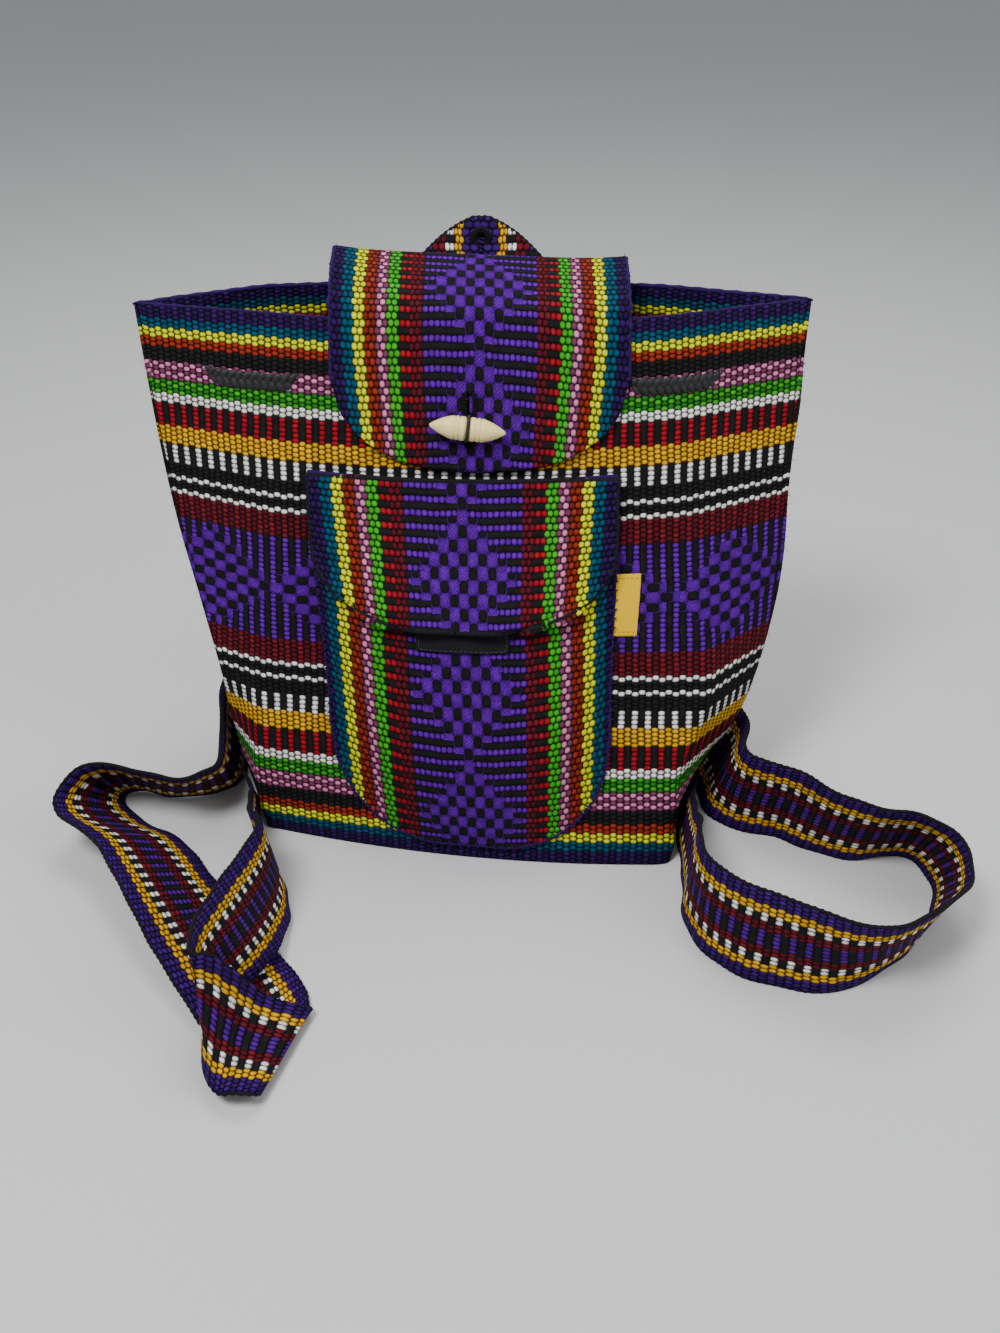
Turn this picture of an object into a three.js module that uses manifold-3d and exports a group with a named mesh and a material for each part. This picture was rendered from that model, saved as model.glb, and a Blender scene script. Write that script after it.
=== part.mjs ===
// A small woven backpack standing upright on its boxed base: a striped bag with an open mouth,
// a flap with a toggle, a patch pocket, a drawstring and two shoulder straps.
// Millimetres, +Z up. The front faces -Y, +X is to the right of someone looking at the front,
// and the origin is the centre of the flat underside of the base.
import * as THREE from 'three';
import { mergeVertices } from 'three/addons/utils/BufferGeometryUtils.js';
import Module from 'manifold-3d';

const wasm = await Module();
wasm.setup();

// Bag
const mouthWidth = 310;
const baseWidth = 204;
const baseDepth = 110;
const frontHeight = 228;
const seamHeight = 230;
const backHeight = 232;
const clothThickness = 2;

// Clearances between pieces that touch on the real bag
const sewnGap = 0.35;
const layGap = 0.6;

// Main flap
const flapWidth = 133;
const flapThickness = 2.4;
const flapCentreX = 8;
const flapDrop = 61;
const flapRoundDrop = 38;
const flapTail = 13;
const flapRise = 12;

// Patch pocket
const pocketWidth = 140;
const pocketThickness = 2;
const pocketTopZ = 164.5;
const pocketBottomZ = 6;
const pocketRoundRise = 52;
const pocketBulge = 21;
const pocketMouthSlack = 3;

// Pocket flap, hook strip and side tab
const pocketFlapDrop = 62;
const pocketFlapRoundDrop = 34;
const pocketFlapThickness = 2.2;
const hookStripWidth = 42;
const hookStripHeight = 15;
const hookStripThickness = 1.2;
const hookStripTuck = 7;
const tabWidth = 12;
const tabHeight = 28;
const tabThickness = 1;
const tabTopZ = 126;

// Toggle and its cord
const toggleLength = 34;
const toggleDiameter = 10.6;
const toggleWaistDiameter = 9;
const toggleTilt = 7;
const toggleX = 3;
const toggleDropZ = 43;
const toggleCordDiameter = 2;
const buttonholeLength = 24;
const buttonholeWidth = 3;
const buttonholeBelowToggle = 7;

// Drawstring
const braidWidth = 6;
const braidThickness = 1.8;
const braidDrop = 27;
const braidInnerX = 75;
const braidOuterX = 116;
const braidDive = 12;
const braidSeamDistance = 13;
const slitMargin = 0.35;

// Straps
const strapWidth = 46;
const strapThickness = 2;
const strapEndWidth = 20;
const leftReach = 82;
const rightReach = 118;
const leftForward = 185;
const rightForward = 146;
const tipHeight = 24;
const tipLean = 13;
const tipShoulderDrop = 36;
const tipBottomZ = 212;
const tipCentreX = 8;

// The bag's level sections. height is a share of the bag's height, and toBase says how far the
// half width has gone from the mouth's towards the base's. The x columns are shares of that half
// width and the y columns are shares of half the base's depth: seams at the sides, creases where the
// front and back turn into the sides, and the middles of the front and the back.
const sectionColumns = ['height', 'toBase',
  'leftSeamX', 'leftCreaseX', 'rightCreaseX', 'rightSeamX', 'backCreaseX',
  'leftSeamY', 'leftCreaseY', 'frontY', 'rightCreaseY', 'rightSeamY', 'backCreaseY', 'backY'];
const sectionRows = [
  [0.000, 1.00, 0.990, 0.940, 0.940, 1.000, 0.98, 0.09, -0.56, -0.98, -1.09, 0.00, 0.95, 1.02],
  [0.053, 0.95, 1.020, 0.936, 0.940, 1.040, 0.99, -0.04, -0.55, -0.91, -1.00, 0.00, 0.98, 1.05],
  [0.175, 0.70, 0.960, 0.830, 0.843, 1.085, 0.95, 0.00, -0.45, -0.73, -0.78, -0.12, 1.05, 1.15],
  [0.316, 0.45, 0.885, 0.720, 0.855, 1.070, 0.87, -0.03, -0.25, -0.49, -0.55, 0.00, 1.15, 1.25],
  [0.474, 0.20, 0.886, 0.610, 0.748, 1.039, 0.75, 0.33, -0.04, -0.24, -0.20, 0.33, 1.29, 1.40],
  [0.636, 0.08, 0.918, 0.580, 0.676, 1.015, 0.69, 0.64, 0.24, 0.04, 0.15, 0.62, 1.42, 1.53],
  [0.811, 0.03, 0.945, 0.587, 0.639, 1.020, 0.65, 0.87, 0.55, 0.33, 0.45, 0.87, 1.56, 1.64],
  [1.000, 0.00, 0.968, 0.594, 0.613, 1.035, 0.61, 1.09, 0.89, 0.65, 0.80, 1.20, 1.56, 1.64],
];
const shellLevels = [0, 0.025, 0.053, 0.11, 0.175, 0.245, 0.316, 0.395, 0.474, 0.555, 0.636, 0.725, 0.811, 0.905, 1];
const frontSteps = 14;
const sideSteps = 3;
const backSteps = 10;

// Strap rows follow the cloth from the strap tip down the back, past the bag's side, round the loop
// and back to the bag. w is the direction across the strap, lift is how far its lower edge is off
// the floor as a share of the strap's width. On the back, x is a share of half the mouth's width and
// z of the back's height. Beside the bag, gap is in strap widths from the bag's side and y a share
// of the base's half depth. In the loop, x is a share of the reach past the base's side, and y of
// the forward reach.
const backColumns = ['x', 'z', 'wx', 'wy', 'wz'];
const besideColumns = ['gap', 'y', 'lift', 'wx', 'wy', 'wz'];
const loopColumns = ['x', 'y', 'lift', 'wx', 'wy', 'wz'];

const leftStrap = {
  side: -1,
  reach: leftReach,
  forward: leftForward,
  back: [
    [0.105, 0.905, -1, 0, 0],
    [0.130, 0.800, -1, 0, 0.1],
    [0.220, 0.610, -0.93, 0, 0.37],
    [0.330, 0.430, -0.85, 0, 0.5],
  ],
  beside: [
    [-0.45, 1.50, 0.30, -0.5, 0.1, 0.85],
    [0.14, 1.06, 0.04, -0.25, 0.05, 0.95],
    [0.20, 0.48, 0.01, -0.20, -0.1, 0.97],
  ],
  loop: [
    [0.175, -0.060, 0.01, 0.0, -0.61, 0.79],
    [0.29, -0.108, 0.01, 0.14, -0.66, 0.74],
    [0.44, -0.124, 0.01, 0.22, -0.68, 0.72],
    [0.64, -0.100, 0.01, 0.18, -0.68, 0.72],
    [0.80, -0.092, 0.01, 0.00, -0.62, 0.78],
    [0.90, -0.115, 0.01, -0.25, -0.58, 0.78],
    [0.93, -0.170, 0.01, -0.50, -0.60, 0.62],
    [0.83, -0.230, 0.01, -0.68, -0.52, 0.50],
    [0.61, -0.300, 0.01, -0.73, -0.51, 0.45],
    [0.36, -0.460, 0.01, -0.76, -0.53, 0.38],
    [0.12, -0.620, 0.01, -0.79, -0.55, 0.24],
    [-0.09, -0.745, 0.01, -0.81, -0.57, 0.12],
    [-0.27, -0.860, 0.01, -0.66, -0.75, 0.04],
    [-0.385, -0.940, 0.02, -0.38, -0.92, 0.00],
    [-0.425, -0.968, 0.09, -0.30, -0.95, 0.00],
    [-0.370, -0.985, 0.17, -0.20, -0.98, -0.03],
    [-0.24, -0.985, 0.17, -0.08, -0.96, -0.20],
    [-0.13, -0.992, 0.13, -0.05, -0.70, -0.70],
    [-0.045, -0.962, 0.12, 0.00, -0.10, -0.99],
    [-0.065, -0.870, 0.22, 0.20, 0.15, -0.95],
    [-0.15, -0.755, 0.20, 0.35, 0.05, -0.93],
    [-0.20, -0.645, 0.12, 0.36, 0.00, -0.93],
    [-0.23, -0.535, 0.04, 0.28, 0.00, -0.95],
    [-0.20, -0.420, 0.02, 0.20, 0.00, -0.98],
    [-0.08, -0.310, 0.02, 0.15, 0.00, -0.98],
  ],
};

const rightStrap = {
  side: 1,
  reach: rightReach,
  forward: rightForward,
  back: [
    [0.210, 0.905, 1, 0, 0],
    [0.235, 0.800, 1, 0, 0.1],
    [0.320, 0.610, 0.93, 0, 0.37],
    [0.420, 0.430, 0.85, 0, 0.5],
  ],
  beside: [
    [-0.35, 1.50, 0.28, 0.5, 0.1, 0.85],
    [0.18, 0.95, 0.02, 0.25, 0.1, 0.97],
    [0.20, 0.42, 0.01, 0.40, 0, 0.91],
    [0.24, -0.02, 0.01, 0.48, 0, 0.87],
    [0.36, -0.40, 0.01, 0.30, -0.05, 0.95],
  ],
  loop: [
    [0.25, -0.235, 0.01, 0.12, -0.12, 0.98],
    [0.42, -0.300, 0.01, 0.08, -0.20, 0.98],
    [0.55, -0.390, 0.01, 0.08, -0.31, 0.95],
    [0.70, -0.445, 0.01, 0.05, -0.38, 0.92],
    [0.86, -0.440, 0.01, 0.04, -0.50, 0.86],
    [0.94, -0.480, 0.01, 0.12, -0.56, 0.82],
    [0.97, -0.545, 0.01, 0.12, -0.60, 0.78],
    [0.97, -0.620, 0.01, 0.08, -0.62, 0.77],
    [0.93, -0.719, 0.01, 0.04, -0.62, 0.78],
    [0.84, -0.815, 0.01, -0.05, -0.57, 0.82],
    [0.72, -0.911, 0.01, -0.10, -0.50, 0.86],
    [0.58, -0.980, 0.01, -0.10, -0.38, 0.92],
    [0.44, -1.000, 0.01, -0.08, -0.14, 0.98],
    [0.28, -0.955, 0.01, 0.00, 0.02, 0.99],
    [0.14, -0.897, 0.01, 0.06, 0.05, 0.99],
    [0.03, -0.800, 0.01, 0.04, 0.04, 0.99],
    [-0.01, -0.680, 0.01, 0.08, 0.00, 0.99],
    [0.01, -0.540, 0.01, 0.12, 0.00, 0.98],
    [0.02, -0.400, 0.01, 0.15, 0.00, 0.98],
  ],
};
const strapSewnY = [-0.53, -0.40, -0.26];
const strapSewnLift = 1.5;
const strapSewnGap = 2.4;
const strapLie = 3;
const floorGap = 0.2;
const strapStepsPerRow = 3;

// The toggle's profile from one end to its middle: distance from the middle and radius, as shares
// of half its length and of its radius, with two carved grooves.
const toggleProfile = [[1, 0], [0.96, 0.2], [0.8, 0.55], [0.62, 0.83], [0.45, 0.97], [0.36, 1], [0.33, 0.88],
  [0.30, 1], [0.24, 1], [0.21, 0.88], [0.18, 0.99], [0.11, 0.98]];
const toggleSides = 12;

function named(columns, row) {
  return Object.fromEntries(columns.map((name, index) => [name, row[index]]));
}

function mix(a, b, t) {
  return a + (b - a) * t;
}

function smooth(t) {
  const s = Math.min(1, Math.max(0, t));
  return s * s * (3 - 2 * s);
}

// A closed geometry with its faces turned outwards.
function closedGeometry(points, faces) {
  const volume = faces.reduce((sum, [a, b, c]) => (
    sum + points[a].dot(new THREE.Vector3().crossVectors(points[b], points[c]))), 0);
  const turned = volume < 0 ? faces.map(([a, b, c]) => [a, c, b]) : faces;
  const geometry = new THREE.BufferGeometry();
  const numbers = points.flatMap((p) => [p.x, p.y, p.z]);
  geometry.setAttribute('position', new THREE.Float32BufferAttribute(numbers, 3));
  geometry.setIndex(turned.flat());
  return geometry;
}

function toSolid(geometry) {
  const bare = geometry.clone();
  bare.deleteAttribute('normal');
  bare.deleteAttribute('uv');
  const merged = mergeVertices(bare, 1e-4);
  return new wasm.Manifold(new wasm.Mesh({
    numProp: 3,
    vertProperties: new Float32Array(merged.attributes.position.array),
    triVerts: new Uint32Array(merged.index.array),
  }));
}

function toGeometry(solid) {
  const mesh = solid.getMesh();
  const geometry = new THREE.BufferGeometry();
  geometry.setAttribute('position', new THREE.Float32BufferAttribute(mesh.vertProperties, 3));
  geometry.setIndex(Array.from(mesh.triVerts));
  return geometry;
}

// A sheet of cloth between two grids of points, closed round its edge.
function slab(outer, inner) {
  const rows = outer.length;
  const columns = outer[0].length;
  const points = [...outer.flat(), ...inner.flat()];
  const top = (i, j) => i * columns + j;
  const under = (i, j) => rows * columns + i * columns + j;
  const faces = [];
  const quad = (a, b, c, d) => faces.push([a, b, c], [a, c, d]);
  for (let i = 0; i + 1 < rows; i += 1) {
    for (let j = 0; j + 1 < columns; j += 1) {
      quad(top(i, j), top(i, j + 1), top(i + 1, j + 1), top(i + 1, j));
      quad(under(i, j), under(i + 1, j), under(i + 1, j + 1), under(i, j + 1));
    }
    quad(top(i, 0), top(i + 1, 0), under(i + 1, 0), under(i, 0));
    quad(top(i, columns - 1), under(i, columns - 1), under(i + 1, columns - 1), top(i + 1, columns - 1));
  }
  for (let j = 0; j + 1 < columns; j += 1) {
    quad(top(0, j), under(0, j), under(0, j + 1), top(0, j + 1));
    quad(top(rows - 1, j), top(rows - 1, j + 1), under(rows - 1, j + 1), under(rows - 1, j));
  }
  return closedGeometry(points, faces);
}

// One named column of the section table at any level, on a smooth curve through its rows.
function sectionValue(column, level) {
  const index = sectionColumns.indexOf(column);
  const at = (row) => sectionRows[row][0];
  const value = (row) => sectionRows[row][index];
  let row = 0;
  while (row + 2 < sectionRows.length && level > at(row + 1)) {
    row += 1;
  }
  const slope = (k) => {
    const before = Math.max(0, k - 1);
    const after = Math.min(sectionRows.length - 1, k + 1);
    return (value(after) - value(before)) / (at(after) - at(before));
  };
  const span = at(row + 1) - at(row);
  const t = (level - at(row)) / span;
  return value(row) * (1 + 2 * t) * (1 - t) ** 2 + slope(row) * span * t * (1 - t) ** 2
    + value(row + 1) * t * t * (3 - 2 * t) + slope(row + 1) * span * t * t * (t - 1);
}

// The bag's corners at a level, moved in by the thickness of its wall where inset is that.
function section(level, inset = 0) {
  const toBase = sectionValue('toBase', level);
  const half = mix(mouthWidth, baseWidth, toBase) / 2;
  const x = (name) => half * sectionValue(name, level);
  const y = (name) => baseDepth / 2 * sectionValue(name, level);
  const seamInset = inset * mix(3.4, 1, toBase);
  const creaseInset = inset * toBase;
  return {
    leftSeam: [-x('leftSeamX') + seamInset, y('leftSeamY')],
    leftCrease: [-x('leftCreaseX') + creaseInset, y('leftCreaseY') + inset],
    rightCrease: [x('rightCreaseX') - creaseInset, y('rightCreaseY') + inset],
    rightSeam: [x('rightSeamX') - seamInset, y('rightSeamY')],
    backRight: [x('backCreaseX') - creaseInset, y('backCreaseY') - inset],
    backLeft: [-x('backCreaseX') + creaseInset, y('backCreaseY') - inset],
    frontY: y('frontY') + inset,
    backY: y('backY') - inset,
  };
}

// The curve between two creases, through the middle's depth.
function facing(x, left, right, middleY) {
  const t = (x - left[0]) / (right[0] - left[0]);
  const chord = mix(left[1], right[1], t);
  const chordMiddle = (left[1] + right[1]) / 2;
  return chord + (middleY - chordMiddle) * 4 * t * (1 - t);
}

function frontY(x, level) {
  const s = section(level);
  return facing(x, s.leftCrease, s.rightCrease, s.frontY);
}

function backY(x, level) {
  const s = section(level);
  return facing(x, s.backLeft, s.backRight, s.backY);
}

// The bag's outline at one level, as seen from above, starting at the left seam.
function ring(level, inset = 0) {
  const s = section(level, inset);
  const points = [];
  const z = (x, rise) => mix(seamHeight, rise, 1 - Math.abs(x) / (mouthWidth / 2)) * level;
  const line = (from, to, steps, rise) => {
    for (let k = 0; k < steps; k += 1) {
      const x = mix(from[0], to[0], k / steps);
      points.push(new THREE.Vector3(x, mix(from[1], to[1], k / steps), z(x, rise)));
    }
  };
  const arc = (from, to, middleY, steps, rise) => {
    for (let k = 0; k < steps; k += 1) {
      const x = mix(from[0], to[0], k / steps);
      points.push(new THREE.Vector3(x, facing(x, from, to, middleY), z(x, rise)));
    }
  };
  line(s.leftSeam, s.leftCrease, sideSteps, frontHeight);
  arc(s.leftCrease, s.rightCrease, s.frontY, frontSteps, frontHeight);
  line(s.rightCrease, s.rightSeam, sideSteps, frontHeight);
  line(s.rightSeam, s.backRight, sideSteps, backHeight);
  arc(s.backRight, s.backLeft, s.backY, backSteps, backHeight);
  line(s.backLeft, s.leftSeam, sideSteps, backHeight);
  return points;
}

// The direction straight out from the back of the bag.
function backNormal(x, z) {
  const step = 1;
  const at = (px, pz) => backY(px, pz / backHeight);
  const acrossX = (at(x + step, z) - at(x - step, z)) / (2 * step);
  const acrossZ = (at(x, z + step) - at(x, z - step)) / (2 * step);
  return new THREE.Vector3(-acrossX, 1, -acrossZ).normalize();
}

// The point a given distance out from the front of the bag.
function offFront(x, z, distance) {
  const step = 1;
  const at = (px, pz) => frontY(px, pz / frontHeight);
  const acrossX = (at(x + step, z) - at(x - step, z)) / (2 * step);
  const acrossZ = (at(x, z + step) - at(x, z - step)) / (2 * step);
  const out = new THREE.Vector3(acrossX, -1, acrossZ).normalize();
  return new THREE.Vector3(x, at(x, z), z).addScaledVector(out, distance);
}

// The bag's side at a given depth and height.
function sideX(side, y, z) {
  const s = section(z / seamHeight);
  const seam = side < 0 ? s.leftSeam : s.rightSeam;
  const crease = side < 0 ? s.leftCrease : s.rightCrease;
  const back = side < 0 ? s.backLeft : s.backRight;
  const end = y < seam[1] ? crease : back;
  return mix(seam[0], end[0], Math.min(1, (y - seam[1]) / (end[1] - seam[1])));
}

function bagShell() {
  const outer = shellLevels.map((level) => ring(level));
  const floorLevel = clothThickness / frontHeight;
  const inner = [floorLevel, ...shellLevels.slice(1)].map((level) => ring(level, clothThickness));
  const around = outer[0].length;
  const points = [...outer.flat(), ...inner.flat()];
  const out = (i, j) => i * around + (j % around);
  const into = (i, j) => (outer.length + i) * around + (j % around);
  const faces = [];
  const quad = (a, b, c, d) => faces.push([a, b, c], [a, c, d]);
  for (let i = 0; i + 1 < outer.length; i += 1) {
    for (let j = 0; j < around; j += 1) {
      quad(out(i, j), out(i, j + 1), out(i + 1, j + 1), out(i + 1, j));
      quad(into(i, j), into(i + 1, j), into(i + 1, j + 1), into(i, j + 1));
    }
  }
  const last = outer.length - 1;
  for (let j = 0; j < around; j += 1) {
    quad(out(last, j), out(last, j + 1), into(last, j + 1), into(last, j));
  }
  const flat = (outline) => (
    THREE.ShapeUtils.triangulateShape(outline.map((p) => new THREE.Vector2(p.x, p.y)), []));
  flat(outer[0]).forEach(([a, b, c]) => faces.push([out(0, a), out(0, c), out(0, b)]));
  flat(inner[0]).forEach(([a, b, c]) => faces.push([into(0, a), into(0, b), into(0, c)]));
  return closedGeometry(points, faces);
}

// The drawstring lies outside the bag between each pair of slits and inside it everywhere else.
function drawstringCurve() {
  const level = (frontHeight - braidDrop) / frontHeight;
  const s = section(level);
  const outside = layGap + braidThickness / 2;
  const inside = -(clothThickness + layGap + braidThickness / 2);
  const offset = (x) => {
    const shown = smooth((Math.abs(x) - braidInnerX) / braidDive + 0.5)
      * smooth((braidOuterX - Math.abs(x)) / braidDive + 0.5);
    return mix(inside, outside, shown);
  };
  const spacing = 6;
  const leftEnd = s.leftSeam[0] + braidSeamDistance;
  const rightEnd = s.rightSeam[0] - braidSeamDistance;
  const count = Math.round((rightEnd - leftEnd) / spacing);
  const points = [];
  const depth = (x, isFront) => {
    const crease = isFront ? [s.leftCrease, s.rightCrease] : [s.backLeft, s.backRight];
    const middle = isFront ? s.frontY : s.backY;
    if (x < crease[0][0]) {
      return mix(s.leftSeam[1], crease[0][1], (x - s.leftSeam[0]) / (crease[0][0] - s.leftSeam[0]));
    }
    if (x > crease[1][0]) {
      return mix(s.rightSeam[1], crease[1][1], (s.rightSeam[0] - x) / (s.rightSeam[0] - crease[1][0]));
    }
    return facing(x, crease[0], crease[1], middle);
  };
  const put = (x, isFront) => {
    const slope = (depth(x + 1, isFront) - depth(x - 1, isFront)) / 2;
    const outY = isFront ? -1 : 1;
    const out = new THREE.Vector2(-slope * outY, outY).normalize().multiplyScalar(offset(x));
    points.push(new THREE.Vector3(x + out.x, depth(x, isFront) + out.y, frontHeight - braidDrop));
  };
  for (let k = 0; k <= count; k += 1) {
    put(mix(leftEnd, rightEnd, k / count), true);
  }
  for (let k = 0; k <= count; k += 1) {
    put(mix(rightEnd, leftEnd, k / count), false);
  }
  return new THREE.CatmullRomCurve3(points, true, 'centripetal');
}

// The flat braid swept round its closed route, grown by a margin where it cuts its own slits.
function drawstringGeometry(margin = 0) {
  const curve = drawstringCurve();
  const steps = curve.points.length;
  const halfWidth = braidWidth / 2 + margin;
  const halfThickness = braidThickness / 2 + margin;
  const profile = [[1, 0], [0.6, 1], [-0.6, 1], [-1, 0], [-0.6, -1], [0.6, -1]];
  const points = [];
  for (let k = 0; k < steps; k += 1) {
    const centre = curve.getPoint(k / steps);
    const along = curve.getTangent(k / steps);
    const out = new THREE.Vector3(along.y, -along.x, 0).normalize();
    profile.forEach(([up, side]) => {
      points.push(centre.clone().addScaledVector(out, side * halfThickness)
        .add(new THREE.Vector3(0, 0, up * halfWidth)));
    });
  }
  const around = profile.length;
  const faces = [];
  for (let k = 0; k < steps; k += 1) {
    for (let j = 0; j < around; j += 1) {
      const a = k * around + j;
      const b = k * around + (j + 1) % around;
      const c = ((k + 1) % steps) * around + (j + 1) % around;
      const d = ((k + 1) % steps) * around + j;
      faces.push([a, b, c], [a, c, d]);
    }
  }
  return closedGeometry(points, faces);
}

// How far across a rounded lower edge rises, from 0 in the middle to 1 at the side.
function rounding(across) {
  return 1 - (1 - Math.abs(across) ** 2.6) ** (1 / 2);
}

// Columns that stay even along a rounded end, from -1 to 1.
function columnShares(count) {
  const turn = Math.PI * 0.94;
  return Array.from({ length: count + 1 }, (unused, j) => (
    Math.sin((j / count - 0.5) * turn) / Math.sin(turn / 2)));
}

function flapGeometry() {
  const columns = columnShares(12);
  const frontRows = 8;
  const grow = (distance) => columns.map((across) => {
    const x = flapCentreX + across * flapWidth / 2;
    const rimFront = frontY(x, 1);
    const rimBack = backY(x, 1);
    const lie = layGap + distance;
    const points = [
      [rimBack + lie, backHeight - flapTail],
      [rimBack + lie, backHeight - flapTail / 2],
      [rimBack + lie, backHeight + 1],
      [rimBack + lie * 0.8 - 1, backHeight + flapRise * 0.5 + distance],
      [rimBack + lie * 0.3 - 5, backHeight + flapRise * 0.85 + distance],
      [rimBack - 12, backHeight + flapRise + distance],
      [mix(rimFront, rimBack, 0.42), mix(frontHeight, backHeight, 0.42) + flapRise * 0.9 + distance],
      [rimFront + 8, frontHeight + flapRise * 0.62 + distance],
      [rimFront + 1.5 - lie * 0.4, frontHeight + flapRise * 0.3 + distance * 0.8],
      [rimFront - lie * 0.95, frontHeight + 0.5],
    ].map(([y, z]) => new THREE.Vector3(x, y, z));
    const bottom = frontHeight - flapDrop + flapRoundDrop * rounding(across);
    for (let k = 1; k <= frontRows; k += 1) {
      points.push(offFront(x, mix(frontHeight - 1, bottom, k / frontRows), lie + 0.4));
    }
    return points;
  });
  const flap = toSolid(slab(grow(flapThickness), grow(0)));
  const slit = new THREE.BoxGeometry(buttonholeWidth, baseDepth, buttonholeLength);
  const place = togglePlace();
  slit.translate(place.x, place.y, place.z - buttonholeBelowToggle + buttonholeLength / 2);
  return toGeometry(flap.subtract(toSolid(slit)));
}

function togglePlace() {
  const z = frontHeight - toggleDropZ;
  return offFront(toggleX, z, layGap + 0.4 + flapThickness + sewnGap + toggleDiameter / 2 + 0.4);
}

// Half the pocket's width, a given share of the way down its side.
function pocketHalfWidth(down) {
  return pocketWidth / 2 * mix(1, 0.92, smooth(down));
}

// The pocket's cloth at one point: how far its inner face stands off the bag.
function pocketPoint(across, down, distance) {
  const x = across * pocketHalfWidth(down);
  const bottom = pocketBottomZ + pocketRoundRise * rounding(across);
  const z = mix(pocketTopZ, bottom, down);
  const belly = Math.sin(Math.PI * Math.min(1, down ** 1.35));
  const slack = pocketMouthSlack * (1 - down) ** 2;
  const fullness = (pocketBulge * belly + slack) * (1 - Math.abs(across) ** 2.4);
  return offFront(x, z, sewnGap + fullness + distance);
}

function pocketGeometry() {
  const columns = columnShares(14);
  const rows = 14;
  const grow = (distance) => Array.from({ length: rows + 1 }, (unused, i) => (
    columns.map((across) => pocketPoint(across, i / rows, distance))));
  return slab(grow(pocketThickness), grow(0));
}

// A point over the pocket's outer face, at a height and a share across.
function offPocket(across, z, distance) {
  const bottom = pocketBottomZ + pocketRoundRise * rounding(across);
  const down = (pocketTopZ - z) / (pocketTopZ - bottom);
  return pocketPoint(across, down, pocketThickness + distance);
}

function pocketFlapGeometry() {
  const overHookStrip = sewnGap + hookStripThickness + sewnGap;
  const columns = columnShares(12).map((across) => across * 0.985);
  const rows = 8;
  const grow = (distance) => Array.from({ length: rows + 1 }, (unused, i) => (
    columns.map((across) => {
      const bottom = pocketTopZ - pocketFlapDrop + pocketFlapRoundDrop * rounding(across);
      const z = mix(pocketTopZ - 1, bottom, i / rows);
      return offPocket(across, z, overHookStrip + distance);
    })));
  return slab(grow(pocketFlapThickness), grow(0));
}

function hookStripGeometry() {
  const top = pocketTopZ - pocketFlapDrop + hookStripTuck;
  const columns = 4;
  const rows = 2;
  const point = (i, j, distance) => {
    const across = (j / columns - 0.5) * hookStripWidth / (pocketWidth / 2);
    return offPocket(across, top - hookStripHeight * i / rows, sewnGap + distance);
  };
  const grow = (distance) => Array.from({ length: rows + 1 }, (unused, i) => (
    Array.from({ length: columns + 1 }, (also, j) => point(i, j, distance))));
  return slab(grow(hookStripThickness), grow(0));
}

function sideTabGeometry() {
  const rows = 4;
  const pocketSide = pocketTopZ - pocketBottomZ - pocketRoundRise;
  const grow = (distance) => Array.from({ length: rows + 1 }, (unused, i) => {
    const z = tabTopZ - tabHeight * i / rows;
    const seamX = pocketHalfWidth((pocketTopZ - z) / pocketSide) + sewnGap + layGap;
    return [0, tabWidth / 2, tabWidth].map((x) => offFront(seamX + x, z, sewnGap + distance));
  });
  return slab(grow(tabThickness), grow(0));
}

function toggleGeometry() {
  const radius = toggleDiameter / 2;
  const waist = toggleWaistDiameter / 2;
  const half = toggleProfile.map(([along, out]) => new THREE.Vector2(out * radius, along * toggleLength / 2));
  const middle = [0.085, -0.085].map((along) => new THREE.Vector2(waist, along * toggleLength / 2));
  const other = half.map((p) => new THREE.Vector2(p.x, -p.y)).reverse();
  const lathe = new THREE.LatheGeometry([...half, ...middle, ...other].reverse(), toggleSides);
  lathe.rotateZ(Math.PI / 2);
  return toGeometry(toSolid(lathe));
}

// The cord's loop round the toggle's waist and its stem through the buttonhole to the bag.
function toggleCordGeometry() {
  const place = togglePlace();
  const tube = toggleCordDiameter / 2;
  const radius = toggleWaistDiameter / 2 + sewnGap + tube;
  const loop = new THREE.TorusGeometry(radius, tube, 8, 20);
  loop.rotateY(Math.PI / 2);
  const cloth = frontY(place.x, place.z / frontHeight);
  const length = cloth - place.y - radius - sewnGap - tube;
  const stem = new THREE.CylinderGeometry(tube, tube, length, 8);
  stem.translate(0, radius + length / 2, 0);
  return toGeometry(toSolid(loop).add(toSolid(stem)));
}

// The mitred point where the two strap tails are joined, sewn over the flap's tail on the back.
function strapTipGeometry() {
  const columns = 6;
  const drops = [0, 0.2, 0.45, 0.7, 0.85, 1];
  const top = backHeight + tipHeight;
  const under = layGap + flapThickness + layGap;
  const rows = [...drops.map((share) => share * tipShoulderDrop), top - tipBottomZ];
  const grow = (distance) => rows.map((drop) => {
    const half = Math.max(1.5, strapWidth * Math.min(1, drop / tipShoulderDrop) + 0.5);
    const z = top - drop;
    const lean = tipLean * smooth((z - backHeight - 2) / tipHeight);
    return Array.from({ length: columns + 1 }, (unused, j) => {
      const x = tipCentreX + (j / columns - 0.5) * 2 * half;
      return new THREE.Vector3(x, backY(x, Math.min(1, z / backHeight)) + under + lean + distance, z);
    });
  });
  return slab(grow(strapThickness), grow(0));
}

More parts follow.
